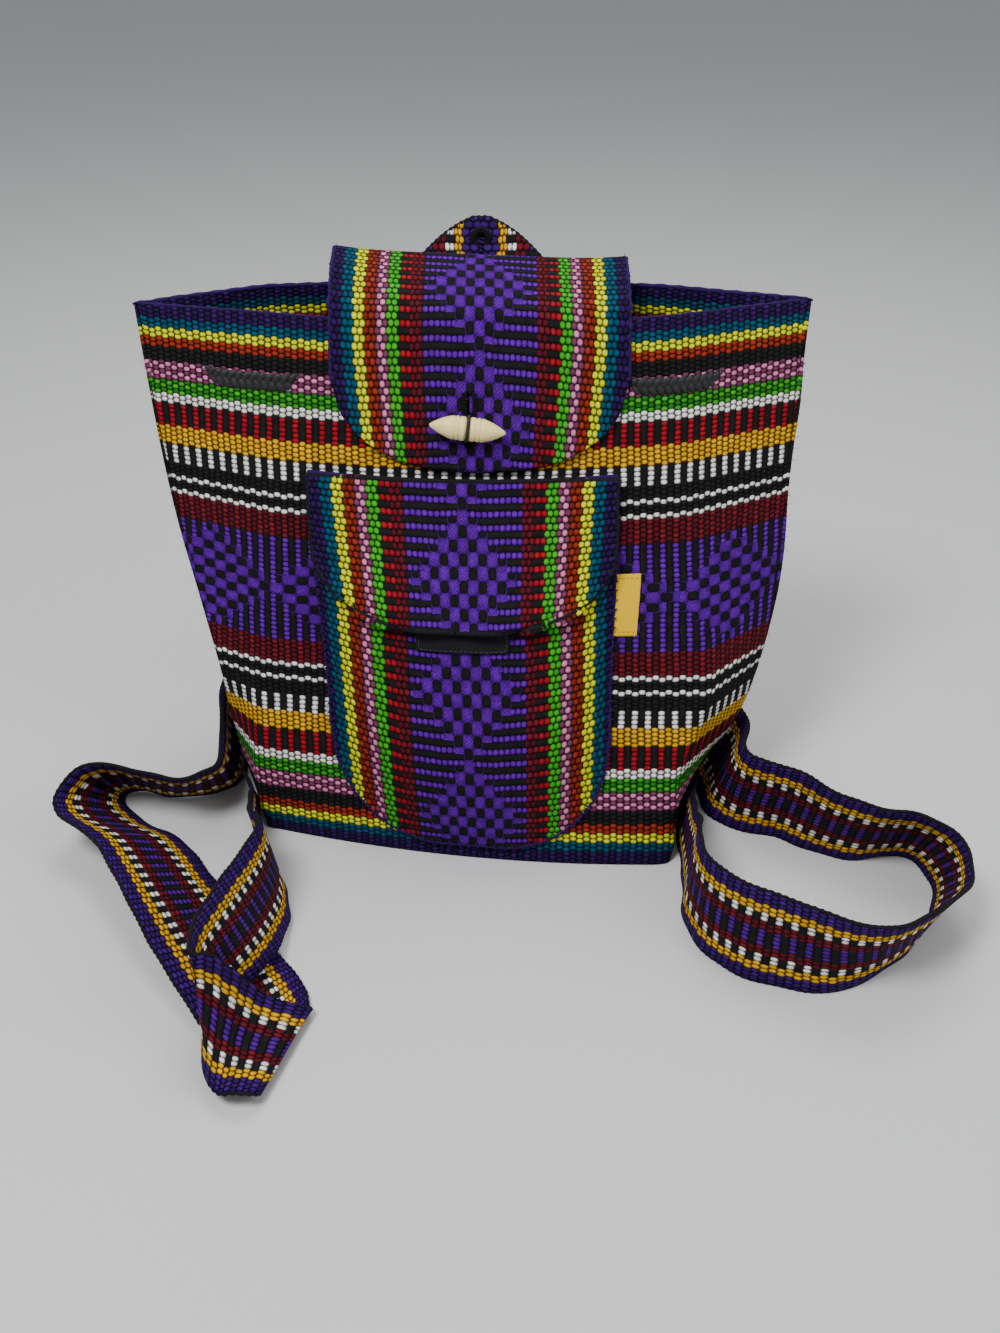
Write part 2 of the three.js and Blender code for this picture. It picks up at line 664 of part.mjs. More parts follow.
// Each strap row as a place on the ground plan, how high its lower edge is, a direction across and
// a width.
function strapRows(strap) {
  const { side, reach, forward } = strap;
  const rows = [];
  const put = (x, y, lift, across, width = strapWidth) => {
    rows.push({ x, y, lift, across, width });
  };
  const direction = (row) => new THREE.Vector3(row.wx, row.wy, row.wz).normalize();
  strap.back.forEach((values) => {
    const row = named(backColumns, values);
    const x = side * row.x * mouthWidth / 2;
    const z = row.z * backHeight;
    const out = backNormal(x, z);
    const across = direction(row).projectOnPlane(out).normalize();
    const distance = strapThickness / 2 + (row.z > 0.85 ? 2 * layGap + flapThickness : strapLie);
    const centre = new THREE.Vector3(x, backY(x, row.z), z).addScaledVector(out, distance);
    put(centre.x, centre.y, centre.z - Math.abs(across.z) * strapWidth / 2, across);
  });
  strap.beside.forEach((values) => {
    const row = named(besideColumns, values);
    const across = direction(row);
    const y = row.y * baseDepth / 2;
    const x = sideX(side, Math.min(y, baseDepth / 2), strapWidth / 2) + side * row.gap * strapWidth;
    put(x, y, row.lift * strapWidth, across);
  });
  strap.loop.forEach((values) => {
    const row = named(loopColumns, values);
    const x = side * (baseWidth / 2 + row.x * reach);
    put(x, row.y * forward, row.lift * strapWidth, direction(row));
  });
  rows[rows.length - 2].width = mix(strapWidth, strapEndWidth, 0.2);
  rows[rows.length - 1].width = mix(strapWidth, strapEndWidth, 0.6);
  const sign = Math.sign(rows[rows.length - 1].across.z);
  strapSewnY.forEach((share) => {
    const y = share * baseDepth / 2;
    const low = sideX(side, y, strapSewnLift);
    const high = sideX(side, y, strapSewnLift + strapEndWidth);
    const across = new THREE.Vector3(high - low, 0, strapEndWidth).normalize();
    const x = (low + high) / 2 + side * across.z * (strapSewnGap + strapThickness / 2);
    put(x, y, strapSewnLift, across.multiplyScalar(sign), strapEndWidth);
  });
  return rows;
}

function strapGeometry(strap) {
  const rows = strapRows(strap);
  const upright = (row) => Math.abs(row.across.z) * row.width / 2;
  const route = new THREE.CatmullRomCurve3(
    rows.map((row) => new THREE.Vector3(row.x, row.y, row.lift + upright(row))), false, 'centripetal');
  const acrosses = new THREE.CatmullRomCurve3(rows.map((row) => row.across), false, 'catmullrom', 0.5);
  const steps = (rows.length - 1) * strapStepsPerRow;
  const outer = [];
  const inner = [];
  for (let k = 0; k <= steps; k += 1) {
    const place = k / strapStepsPerRow;
    const row = Math.min(rows.length - 2, Math.floor(place));
    const width = mix(rows[row].width, rows[row + 1].width, place - row);
    const lift = mix(rows[row].lift, rows[row + 1].lift, place - row);
    const centre = route.getPoint(k / steps);
    const along = route.getTangent(k / steps);
    const across = acrosses.getPoint(k / steps).normalize();
    const out = new THREE.Vector3().crossVectors(along, across).normalize().multiplyScalar(strapThickness / 2);
    const line = [-0.5, 0, 0.5].map((share) => centre.clone().addScaledVector(across, share * width));
    const lowest = Math.min(line[0].z, line[2].z) - Math.abs(out.z);
    const settle = Math.min(1, Math.max(0, 2 - lift / strapWidth * 2));
    const fall = (lift + floorGap - lowest) * settle;
    line.forEach((p) => p.add(new THREE.Vector3(0, 0, Math.max(fall, floorGap - lowest))));
    outer.push(line.map((p) => p.clone().add(out)));
    inner.push(line.map((p) => p.clone().sub(out)));
  }
  return slab(outer, inner);
}

function cloth(color, roughness = 0.9) {
  return new THREE.MeshStandardMaterial({ color, roughness, metalness: 0 });
}

const wovenPurple = cloth(0x4b1f8f);
const wovenStripes = cloth(0x6e2b34);
const wovenStrap = cloth(0x4a2430);
const blackBraid = cloth(0x1d1c1d);
const blackHooks = cloth(0x17171a, 0.8);
const yellowTab = cloth(0xe0b820, 0.7);
const paleBone = cloth(0xefe6b4, 0.35);

const bag = new THREE.Group();

function add(name, geometry, material, position) {
  const mesh = new THREE.Mesh(geometry, material);
  mesh.name = name;
  if (position) {
    mesh.position.copy(position);
  }
  bag.add(mesh);
  return mesh;
}

const slits = toSolid(drawstringGeometry(slitMargin));
add('bag_body', toGeometry(toSolid(bagShell()).subtract(slits)), wovenStripes);
add('main_flap', flapGeometry(), wovenPurple);
add('pocket', pocketGeometry(), wovenPurple);
add('pocket_flap', pocketFlapGeometry(), wovenPurple);
add('hook_strip', hookStripGeometry(), blackHooks);
add('side_tab', sideTabGeometry(), yellowTab);
add('drawstring', drawstringGeometry(), blackBraid);
const toggle = add('toggle', toggleGeometry(), paleBone, togglePlace());
toggle.rotation.y = THREE.MathUtils.degToRad(toggleTilt);
add('toggle_cord', toggleCordGeometry(), blackBraid, togglePlace());
add('strap_tip', strapTipGeometry(), wovenStrap);
add('strap_left', strapGeometry(leftStrap), wovenStrap);
add('strap_right', strapGeometry(rightStrap), wovenStrap);

export default bag;
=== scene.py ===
import bpy
import math
import random
import numpy as np
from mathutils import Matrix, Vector
from mathutils.bvhtree import BVHTree


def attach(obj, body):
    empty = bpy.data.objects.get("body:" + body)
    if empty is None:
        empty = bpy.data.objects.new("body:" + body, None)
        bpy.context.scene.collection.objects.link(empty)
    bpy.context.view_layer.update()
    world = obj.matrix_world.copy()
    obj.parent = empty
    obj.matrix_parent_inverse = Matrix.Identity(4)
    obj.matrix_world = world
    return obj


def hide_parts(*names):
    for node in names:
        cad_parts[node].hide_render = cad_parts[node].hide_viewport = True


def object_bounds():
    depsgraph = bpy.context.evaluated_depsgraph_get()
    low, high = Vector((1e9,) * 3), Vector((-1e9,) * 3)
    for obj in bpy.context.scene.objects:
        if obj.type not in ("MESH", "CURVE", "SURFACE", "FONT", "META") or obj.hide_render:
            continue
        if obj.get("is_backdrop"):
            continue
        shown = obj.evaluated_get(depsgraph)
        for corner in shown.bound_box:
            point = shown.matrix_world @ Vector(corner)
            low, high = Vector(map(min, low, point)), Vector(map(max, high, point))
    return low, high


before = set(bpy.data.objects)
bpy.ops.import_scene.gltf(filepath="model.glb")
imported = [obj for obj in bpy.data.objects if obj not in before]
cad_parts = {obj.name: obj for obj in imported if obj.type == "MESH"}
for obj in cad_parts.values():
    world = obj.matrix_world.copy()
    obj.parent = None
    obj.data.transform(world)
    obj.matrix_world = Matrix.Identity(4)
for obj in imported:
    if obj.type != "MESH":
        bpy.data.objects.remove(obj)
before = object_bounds()
random.seed(7)
rng = np.random.default_rng(7)

# Weave: one period along the rows, the rows across each cloth and the height of one row
PERIOD = 0.0062
BODY_ROWS = 114
FLAP_ROWS = 52
FLAP_MIDDLE = FLAP_ROWS / 2
STRAP_ROWS = 22
PICK = 0.002
CLOTH = 0.002
FLAP_WAIST_Z = 0.218
POCKET_CROSSING_Z = 0.056
SLIT_X, SLIT_LOW, SLIT_HIGH = 0.003, 0.1785, 0.2015


# Shader graph

def linear(code):
    rgb = [int(code[i:i + 2], 16) / 255 for i in (1, 3, 5)]
    return [c / 12.92 if c <= 0.04045 else ((c + 0.055) / 1.055) ** 2.4 for c in rgb] + [1.0]


class Graph:
    def __init__(self, name):
        self.material = bpy.data.materials.new(name)
        self.material.use_nodes = True
        self.nodes = self.material.node_tree.nodes
        self.links = self.material.node_tree.links
        self.nodes.clear()
        self.count = 0

    def node(self, kind, **props):
        node = self.nodes.new(kind)
        for key, value in props.items():
            setattr(node, key, value)
        node.location = (self.count % 20 * 190, -(self.count // 20) * 240)
        self.count += 1
        return node

    def feed(self, socket, value):
        if isinstance(value, Value):
            self.links.new(value.socket, socket)
        else:
            socket.default_value = value

    def math(self, operation, *values):
        node = self.node("ShaderNodeMath", operation=operation)
        for socket, value in zip(node.inputs, values):
            self.feed(socket, value)
        return Value(self, node.outputs[0])

    def mix(self, factor, a, b):
        node = self.node("ShaderNodeMix", data_type="RGBA")
        self.feed(node.inputs[0], factor)
        self.feed(node.inputs[6], a)
        self.feed(node.inputs[7], b)
        return Value(self, node.outputs[2])

    def shade(self, color, amount):
        node = self.node("ShaderNodeVectorMath", operation="SCALE")
        self.feed(node.inputs[0], color)
        self.feed(node.inputs["Scale"], amount)
        return Value(self, node.outputs[0])

    def steps(self, value, stops):
        node = self.node("ShaderNodeValToRGB")
        ramp = node.color_ramp
        ramp.interpolation = "CONSTANT"
        while len(ramp.elements) > 1:
            ramp.elements.remove(ramp.elements[-1])
        for k, (position, color) in enumerate(stops):
            element = ramp.elements[0] if k == 0 else ramp.elements.new(position)
            element.position = position
            element.color = color
        self.feed(node.inputs[0], value)
        return Value(self, node.outputs[0])

    def parts(self, value, kind="ShaderNodeSeparateColor"):
        node = self.node(kind)
        self.feed(node.inputs[0], value)
        return [Value(self, s) for s in node.outputs[:3]]

    def join(self, x, y, z=0.0):
        node = self.node("ShaderNodeCombineXYZ")
        for socket, value in zip(node.inputs, (x, y, z)):
            self.feed(socket, value)
        return Value(self, node.outputs[0])

    def noise(self, vector, scale, detail=2.0):
        node = self.node("ShaderNodeTexNoise")
        self.feed(node.inputs["Vector"], vector)
        node.inputs["Scale"].default_value = scale
        node.inputs["Detail"].default_value = detail
        return Value(self, node.outputs[0])

    def white(self, vector):
        node = self.node("ShaderNodeTexWhiteNoise", noise_dimensions="3D")
        self.feed(node.inputs[0], vector)
        return Value(self, node.outputs[0])

    def uv(self):
        node = self.node("ShaderNodeUVMap", uv_map="weave")
        return Value(self, node.outputs[0])

    def place(self):
        node = self.node("ShaderNodeTexCoord")
        return Value(self, node.outputs["Object"])

    def finish(self, color, height, distance, roughness=0.88, specular=0.12, strength=1.0):
        bump = self.node("ShaderNodeBump")
        bump.inputs["Strength"].default_value = strength
        bump.inputs["Distance"].default_value = distance
        self.feed(bump.inputs["Height"], height)
        shader = self.node("ShaderNodeBsdfPrincipled")
        self.feed(shader.inputs["Base Color"], color)
        shader.inputs["Roughness"].default_value = roughness
        shader.inputs["Specular IOR Level"].default_value = specular
        self.links.new(bump.outputs[0], shader.inputs["Normal"])
        output = self.node("ShaderNodeOutputMaterial")
        self.links.new(shader.outputs[0], output.inputs[0])
        return self.material


class Value:
    def __init__(self, graph, socket):
        self.graph = graph
        self.socket = socket

    def __add__(self, other):
        return self.graph.math("ADD", self, other)

    def __radd__(self, other):
        return self.graph.math("ADD", other, self)

    def __sub__(self, other):
        return self.graph.math("SUBTRACT", self, other)

    def __rsub__(self, other):
        return self.graph.math("SUBTRACT", other, self)

    def __mul__(self, other):
        return self.graph.math("MULTIPLY", self, other)

    def __rmul__(self, other):
        return self.graph.math("MULTIPLY", other, self)

    def __truediv__(self, other):
        return self.graph.math("DIVIDE", self, other)

    def __lt__(self, other):
        return self.graph.math("LESS_THAN", self, other)

    def __gt__(self, other):
        return self.graph.math("GREATER_THAN", self, other)

    def floor(self):
        return self.graph.math("FLOOR", self)

    def fract(self):
        return self.graph.math("FRACT", self)

    def abs(self):
        return self.graph.math("ABSOLUTE", self)

    def power(self, exponent):
        return self.graph.math("POWER", self, exponent)

    def root(self):
        return self.graph.math("SQRT", self.graph.math("MAXIMUM", self, 0.0))

    def most(self, other):
        return self.graph.math("MAXIMUM", self, other)


# Yarn colours
PURPLE = "#2b0b4e"
INDIGO = "#1f083c"
VIOLET = "#590498"
TEAL = "#0a4a62"
YELLOW = "#d6d900"
RUST = "#932a16"
BRICK = "#70200f"
BLACK = "#1b1a1b"
PINK = "#d57ba6"
MAUVE = "#6e3350"
GREEN = "#3aa01f"
MOSS = "#217018"
WHITE = "#ece9e2"
CRIMSON = "#99101f"
GOLD = "#dca200"
MAROON = "#6c1520"
WINE = "#540f1c"
PLUM = "#3b0f6c"
DEEP_PLUM = "#2f0c58"
GRAPE = "#4a1080"

# Bands from an edge to the middle: rows, yarn of the even floats, yarn of the odd ones, and
# their order: 0 in columns, 1 in columns whose odd floats run on smoothly, 2 staggered by row
BODY_BANDS = [
    (3, PURPLE, INDIGO, 0), (2, TEAL, TEAL, 0), (2, YELLOW, YELLOW, 0), (2, RUST, RUST, 0),
    (3, BLACK, BLACK, 0), (4, PINK, MAUVE, 2), (3, GREEN, MOSS, 2), (2, WHITE, WHITE, 0),
    (5, CRIMSON, BLACK, 1), (4, GOLD, GOLD, 0), (4, WHITE, BLACK, 1), (3, BLACK, BLACK, 0),
    (1, WHITE, WHITE, 0), (2, BLACK, BLACK, 0), (1, WHITE, WHITE, 0), (5, MAROON, WINE, 0),
    (11, VIOLET, BLACK, 1),
]
FLAP_BANDS = [
    (2, PURPLE, INDIGO, 0), (2, TEAL, TEAL, 0), (2, YELLOW, YELLOW, 0), (2, RUST, BRICK, 2),
    (2, PINK, MAUVE, 2), (2, GREEN, GREEN, 0), (2, CRIMSON, BLACK, 1), (2, MAROON, WINE, 0),
    (10, VIOLET, BLACK, 1),
]
STRAP_BANDS = [
    (3, PLUM, DEEP_PLUM, 0), (2, GOLD, GOLD, 0), (2, WHITE, BLACK, 1), (2, MAROON, WINE, 0),
    (2, GRAPE, BLACK, 1),
]


def woven(name, bands, rows, figures, cell_rows=2.0, repeat=10.0, widest=5.0, depth=0.0007):
    """A warp-faced cloth: rows of short floats in bands mirrored about the middle.

    Every half period along a row carries one oval float, and alternate floats lie a little higher. The colour
    is darkened where the relief is low: painted shade in the gaps round each float, on the lower floats and
    round the figure blocks.
    Figures are violet floats picked up in the middle band, in a lattice of growing diamonds.
    """
    g = Graph(name)
    u, v, _ = g.parts(g.uv(), "ShaderNodeSeparateXYZ")
    u = u + (g.noise(g.join(u * 0.21, v * 0.13, 1.7), 1.0, 2.0) - 0.5) * 0.3
    u = u + (g.noise(g.join(u * 0.9, v * 0.8, 5.1), 1.0, 1.0) - 0.5) * 0.10
    v = v + (g.noise(g.join(u * 0.8, v * 0.5, 9.4), 1.0, 1.0) - 0.5) * 0.22
    half = rows / 2
    beat = (u * 2.0).floor()
    odd = ((beat * 0.5).fract() * 2.0) > 0.5
    shifted = v + odd * 0.40 - 0.20
    row = shifted.floor()
    folded = half - (row + 0.5 - half).abs()
    position = (folded / half).most(0.0)
    assert sum(band[0] for band in bands) == half
    edges = np.cumsum([0] + [band[0] for band in bands])[:-1] / half
    even_yarn = g.steps(position, [(e, linear(b[1])) for e, b in zip(edges, bands)])
    odd_yarn = g.steps(position, [(e, linear(b[2])) for e, b in zip(edges, bands)])
    last = len(bands) - 1
    flags = g.steps(position, [(e, [float(b[3] == 1), float(k == last), float(b[3] == 2), 1.0])
                               for k, (e, b) in enumerate(zip(edges, bands))])
    smooth, middle, staggered = g.parts(flags)
    near = ((u * 2.0).fract() - 0.5).abs() * 2.0
    cross = (shifted.fract() * 2.0 - 1.0).abs()
    cross = cross * (1.0 - smooth * odd * 0.70)
    float_top = (1.0 - near.power(2.3) * 1.10 - cross.power(2.2) * 1.02).most(0.0)
    relief = float_top.root() * (1.0 - smooth * odd * 0.22)
    row_odd = ((row * 0.5).fract() * 2.0) > 0.5
    which = (odd - staggered * row_odd).abs()
    speckle = 1.0
    if figures:
        across = ((v - half) / cell_rows + 0.5).floor()
        swing = ((u / repeat + 0.5).fract() - 0.5).abs() * (2.0 * widest)
        inside = across.abs() < swing + 0.5
        parity = (((across + u.floor()) * 0.5).fract() * 2.0) > 0.5
        figure = middle * inside
        cell_u = (u.fract() - 0.5).abs()
        cell_v = (((v - half) / cell_rows + 0.5).fract() - 0.5).abs()
        block = (1.0 - (cell_u * 2.22).power(3.4) - (cell_v * 2.25).power(3.4)).most(0.0)
        dark = figure * parity * (block > 0.0)
        violet = figure * (1.0 - dark)
        twill = ((u * 3.5 + v * 1.5).fract() - 0.5).abs() * 2.0
        pad = (1.0 - cell_u * cell_u * 2.3 - cell_v * cell_v * 1.9).most(0.06).root()
        pad = pad * (1.0 - parity * 0.30) * (0.62 + twill * 0.38)
        which = which * (1.0 - figure) + dark
        relief = relief * (1.0 - figure) + violet * pad + dark * block.root() * 0.62
        speckle = 1.0 + violet * 1.8
    strands = g.noise(g.join(u * 3.4, v * 9.0, 0.0), 1.0, 3.0)
    fuzz = g.noise(g.place(), 1500.0, 3.0)
    grain = (fuzz - 0.5) * speckle
    tint = g.white(g.join(beat, row, 3.0))
    color = g.mix(which, even_yarn, odd_yarn)
    # Painted shade from the relief (the gaps between floats go nearly black), times the yarn's own tone:
    # per-float tint, strands and fuzz
    light = (0.07 + relief * 0.98) * (0.78 + tint * 0.36) * (0.62 + strands * 0.76) * (1.0 + grain * 0.75)
    color = g.shade(color, light)
    height = relief + strands * 0.20 + grain * 0.22
    return g.finish(color, height, depth)


def plain(name, code, roughness=0.8, scale=900.0, depth=0.0001, vary=0.3, stretch=(1, 1, 1),
          specular=0.2):
    g = Graph(name)
    mapping = g.node("ShaderNodeMapping")
    g.feed(mapping.inputs["Vector"], g.place())
    mapping.inputs["Scale"].default_value = stretch
    where = Value(g, mapping.outputs[0])
    fine = g.noise(where, scale, 4.0)
    broad = g.noise(where, scale / 14, 2.0)
    color = g.shade(linear(code)[:3], (1.0 - vary / 2) + (fine * 0.5 + broad * 0.5) * vary)
    return g.finish(color, fine, depth, roughness, specular)


body_cloth = woven("woven_stripes", BODY_BANDS, BODY_ROWS, True)
flap_cloth = woven("woven_purple", FLAP_BANDS, FLAP_ROWS, True, 20 / 12)
strap_cloth = woven("woven_strap", STRAP_BANDS, STRAP_ROWS, False)
braid_yarn = plain("black_braid", "#131214", 0.5, 1500.0, 0.0003, 0.6, specular=0.5)
hook_tape = plain("black_hooks", "#141416", 0.75, 2600.0, 0.0006, 0.9)
tab_cloth = plain("yellow_tab", "#dfb200", 0.6, 1500.0, 0.0001, 0.2)
bone = plain("pale_bone", "#f1dc92", 0.36, 260.0, 0.00005, 0.16, (0.25, 1, 1), 0.45)
hem_thread = plain("hem_thread", "#250a48", 0.85, 1600.0, 0.0003, 0.7)
# Near-black thread; on the pocket flap's edge the same colour is painted shadow
dark_thread_and_edge_shade = plain("dark_thread_and_edge_shade", "#131016", 0.85, 1600.0, 0.0002, 0.6)
grey_thread = plain("grey_thread", "#3c3b40", 0.8, 1600.0, 0.0001, 0.5)
gold_thread = plain("gold_thread", "#c58c00", 0.8, 1600.0, 0.0001, 0.3)


# Measuring the solids, and building the meshes

class Cad:
    """One solid's triangles, to be measured with rays."""

    def __init__(self, name):
        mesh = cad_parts[name].data
        self.points = np.empty(len(mesh.vertices) * 3)
        mesh.vertices.foreach_get("co", self.points)
        self.points = self.points.reshape(-1, 3)
        self.faces = [tuple(p.vertices) for p in mesh.polygons]
        self.tree = BVHTree.FromPolygons(self.points.tolist(), self.faces)

    def hit(self, origin, direction):
        found = self.tree.ray_cast(Vector(origin), Vector(direction))[0]
        return None if found is None else np.array(found)


def refine(grid, times, axis):
    """More rows along one axis, on a smooth curve through the given ones."""
    g = np.moveaxis(np.asarray(grid, float), axis, 0)
    n = len(g)
    padded = np.concatenate([2 * g[:1] - g[1:2], g, 2 * g[-1:] - g[-2:-1]])
    place = np.linspace(0, n - 1, (n - 1) * times + 1)
    k = np.minimum(place.astype(int), n - 2)
    t = (place - k).reshape(-1, *[1] * (g.ndim - 1))
    p0, p1, p2, p3 = (padded[k + i] for i in range(4))
    out = 0.5 * (2 * p1 + (p2 - p0) * t + (2 * p0 - 5 * p1 + 4 * p2 - p3) * t ** 2
                 + (3 * p1 - p0 - 3 * p2 + p3) * t ** 3)
    return np.moveaxis(out, 0, axis)


def even(points, count):
    """The same line with evenly spaced points."""
    points = np.asarray(points, float)
    length = np.concatenate([[0], np.cumsum(np.linalg.norm(np.diff(points, axis=0), axis=1))])
    wanted = np.linspace(0, length[-1], count)
    return np.stack([np.interp(wanted, length, points[:, k]) for k in range(points.shape[1])], axis=1)


def arc(grid, axis):
    """Running length along one axis of a grid of points."""
    steps = np.linalg.norm(np.diff(grid, axis=axis), axis=2)
    start = np.zeros_like(np.take(steps, [0], axis=axis))
    return np.concatenate([start, np.cumsum(steps, axis=axis)], axis=axis)


def within(picks, rows):
    """Pick numbers kept inside the outermost rows of a cloth."""
    return np.clip(picks, 0.01, rows - 0.01)


def normals(grid):
    a = np.gradient(grid, axis=0)
    b = np.gradient(grid, axis=1)
    n = np.cross(a, b)
    return n / np.maximum(np.linalg.norm(n, axis=2, keepdims=True), 1e-12)


class Build:
    """A mesh gathered from sheets and tubes, with its weave coordinates."""

    def __init__(self):
        self.points = []
        self.faces = []
        self.uvs = []
        self.slots = []
        self.flat = []
        self.total = 0

    def put(self, points, faces, uvs, slot=0, flat=False):
        self.points.append(np.asarray(points, float).reshape(-1, 3))
        for face, uv in zip(faces, uvs):
            self.faces.append([i + self.total for i in face])
            self.uvs.extend(uv)
            self.slots.append(slot)
            self.flat.append(flat)
        self.total += len(self.points[-1])

    def sheet(self, outer, u, v, thickness, keep=None, slot=0, rim_slot=None):
        """A sheet from its outer grid, closed round every edge; keep drops cells to leave holes."""
        m, n = outer.shape[:2]
        inner = outer - normals(outer) * thickness
        if keep is None:
            keep = np.ones((m - 1, n - 1), bool)
        size = m * n
        uv = np.stack([u, v], axis=2).reshape(-1, 2).tolist()
        faces, uvs = [], []
        for i in range(m - 1):
            for j in range(n - 1):
                if not keep[i, j]:
                    continue
                a, b, c, d = i * n + j, (i + 1) * n + j, (i + 1) * n + j + 1, i * n + j + 1
                faces.append((a, b, c, d))
                uvs.append((uv[a], uv[b], uv[c], uv[d]))
                faces.append((size + a, size + d, size + c, size + b))
                uvs.append((uv[a], uv[d], uv[c], uv[b]))
        self.put(np.concatenate([outer.reshape(-1, 3), inner.reshape(-1, 3)]), faces, uvs, slot)
        base = self.total - 2 * size
        wide = np.zeros((m + 1, n + 1), bool)
        wide[1:m, 1:n] = keep
        rim, rim_uvs = [], []

        def close(a, b):
            rim.append((base + b, base + a, base + size + a, base + size + b))
            rim_uvs.append((uv[b], uv[a], uv[a], uv[b]))

        for i in range(m):
            for j in range(n):
                if j + 1 < n and wide[i, j + 1] != wide[i + 1, j + 1]:
                    a, b = i * n + j, i * n + j + 1
                    close(*((b, a) if wide[i + 1, j + 1] else (a, b)))
                if i + 1 < m and wide[i + 1, j] != wide[i + 1, j + 1]:
                    a, b = i * n + j, (i + 1) * n + j
                    close(*((a, b) if wide[i + 1, j + 1] else (b, a)))
        for face, corner in zip(rim, rim_uvs):
            self.faces.append(list(face))
            self.uvs.extend(corner)
            self.slots.append(slot if rim_slot is None else rim_slot)
            self.flat.append(True)

    def tube(self, line, radius, sides=6, slot=0, closed=False, flatten=1.0, up=None):
        """A round or flattened thread along a line."""
        line = np.asarray(line, float)
        n = len(line)
        if closed:
            along = np.roll(line, -1, axis=0) - np.roll(line, 1, axis=0)
        else:
            along = np.gradient(line, axis=0)
        along /= np.maximum(np.linalg.norm(along, axis=1, keepdims=True), 1e-12)
        guide = np.tile([0.13, 0.31, 0.94], (n, 1)) if up is None else up
        side = np.cross(along, guide)
        side /= np.maximum(np.linalg.norm(side, axis=1, keepdims=True), 1e-12)
        top = np.cross(side, along)
        radii = np.broadcast_to(np.asarray(radius, float), (n,))[:, None]
        rings = []
        for k in range(sides):
            a = 2 * math.pi * k / sides
            rings.append(line + (side * math.cos(a) + top * math.sin(a) * flatten) * radii)
        points = np.stack(rings, axis=1)
        length = np.concatenate([[0], np.cumsum(np.linalg.norm(np.diff(line, axis=0), axis=1))])
        faces, uvs = [], []
        for i in range(n if closed else n - 1):
            j = (i + 1) % n
            for k in range(sides):
                l = (k + 1) % sides
                faces.append((i * sides + k, i * sides + l, j * sides + l, j * sides + k))
                a, b = length[i] / PERIOD, length[min(i + 1, n - 1)] / PERIOD
                uvs.append(((a, k), (a, k + 1), (b, k + 1), (b, k)))
        if not closed:
            faces += [tuple(range(sides))[::-1], tuple((n - 1) * sides + k for k in range(sides))]
            uvs += [[(0, 0)] * sides, [(0, 0)] * sides]
        self.put(points, faces, uvs, slot)

    def stitches(self, line, spacing, length, radius, slot=0, lift=None, lean=0.0, across=None):
        """Short threads laid end to end along a line, or leaning across it."""
        line = np.asarray(line, float)
        total = np.linalg.norm(np.diff(line, axis=0), axis=1).sum()
        count = max(2, int(total / spacing))
        fine = even(line, count * 4 + 1)
        for k in range(count):
            a, c = fine[4 * k], fine[min(4 * k + 4, len(fine) - 1)]
            middle = (a + c) / 2
            direction = (c - a) / max(np.linalg.norm(c - a), 1e-9)
            if across is not None:
                direction = direction * lean + across[min(int(k / count * len(across)), len(across) - 1)]
                direction /= np.linalg.norm(direction)
            out = np.zeros(3) if lift is None else lift[min(int(k / count * len(lift)), len(lift) - 1)]
            jitter = 1 + 0.12 * (random.random() - 0.5)
            h = length * jitter / 2
            arch = [middle - direction * h, middle - direction * h * 0.5 + out * radius * 0.9,
                    middle + out * radius * 1.2, middle + direction * h * 0.5 + out * radius * 0.9,
                    middle + direction * h]
            self.tube(arch, [radius * 0.55, radius, radius, radius, radius * 0.55], 5, slot)

    def hem(self, edge, out, depth, count, radius, wave, sides):
        """A rolled hem that swells with every thread whipped over it."""
        ripple = wave * np.sin(np.arange(count) * 1.7)
        self.tube(even(edge - out * depth, count), radius + ripple, sides, 1)

    def fibres(self, points, outward, count, slot=1, length=0.0030):
        """Loose hairs of the yarn standing off a line or a face."""
        points, outward = points.reshape(-1, 3), outward.reshape(-1, 3)
        for _ in range(count):
            k = rng.integers(len(points))
            out = outward[k] + rng.normal(0, 0.55, 3)
            out /= np.linalg.norm(out)
            bend = rng.normal(0, 0.5, 3)
            reach = length * rng.uniform(0.35, 1.0)
            start = points[k] - outward[k] * 0.0004
            line = [start + out * reach * t + bend * reach * t * t for t in (0, 0.4, 0.75, 1.0)]
            self.tube(line, [0.00007, 0.00006, 0.00005, 0.00002], 3, slot)

    def make(self, name, materials, replaces=()):
        mesh = bpy.data.meshes.new(name)
        points = np.concatenate(self.points)
        points[:, 2] = np.maximum(points[:, 2], 0.0)
        mesh.from_pydata(points.tolist(), [], self.faces)
        layer = mesh.uv_layers.new(name="weave")
        layer.data.foreach_set("uv", np.asarray(self.uvs, float).ravel())
        mesh.polygons.foreach_set("material_index", self.slots)
        mesh.polygons.foreach_set("use_smooth", [not f for f in self.flat])
        for material in materials:
            mesh.materials.append(material)
        mesh.update()
        piece = bpy.data.objects.new(name, mesh)
        bpy.context.scene.collection.objects.link(piece)
        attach(piece, "root")
        if replaces:
            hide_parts(*replaces)
        return piece


# Bag

RIM_FRONT, RIM_SEAM, RIM_BACK = 0.228, 0.230, 0.232
MOUTH_HALF = 0.155
LEVELS = [0.002, 0.025, 0.053, 0.11, 0.175, 0.245, 0.316, 0.395, 0.474, 0.555, 0.636, 0.725,
          0.811, 0.905, 0.998]
HALF_COLUMNS = 41
RAYS = 1080

shell = Cad("bag_body")


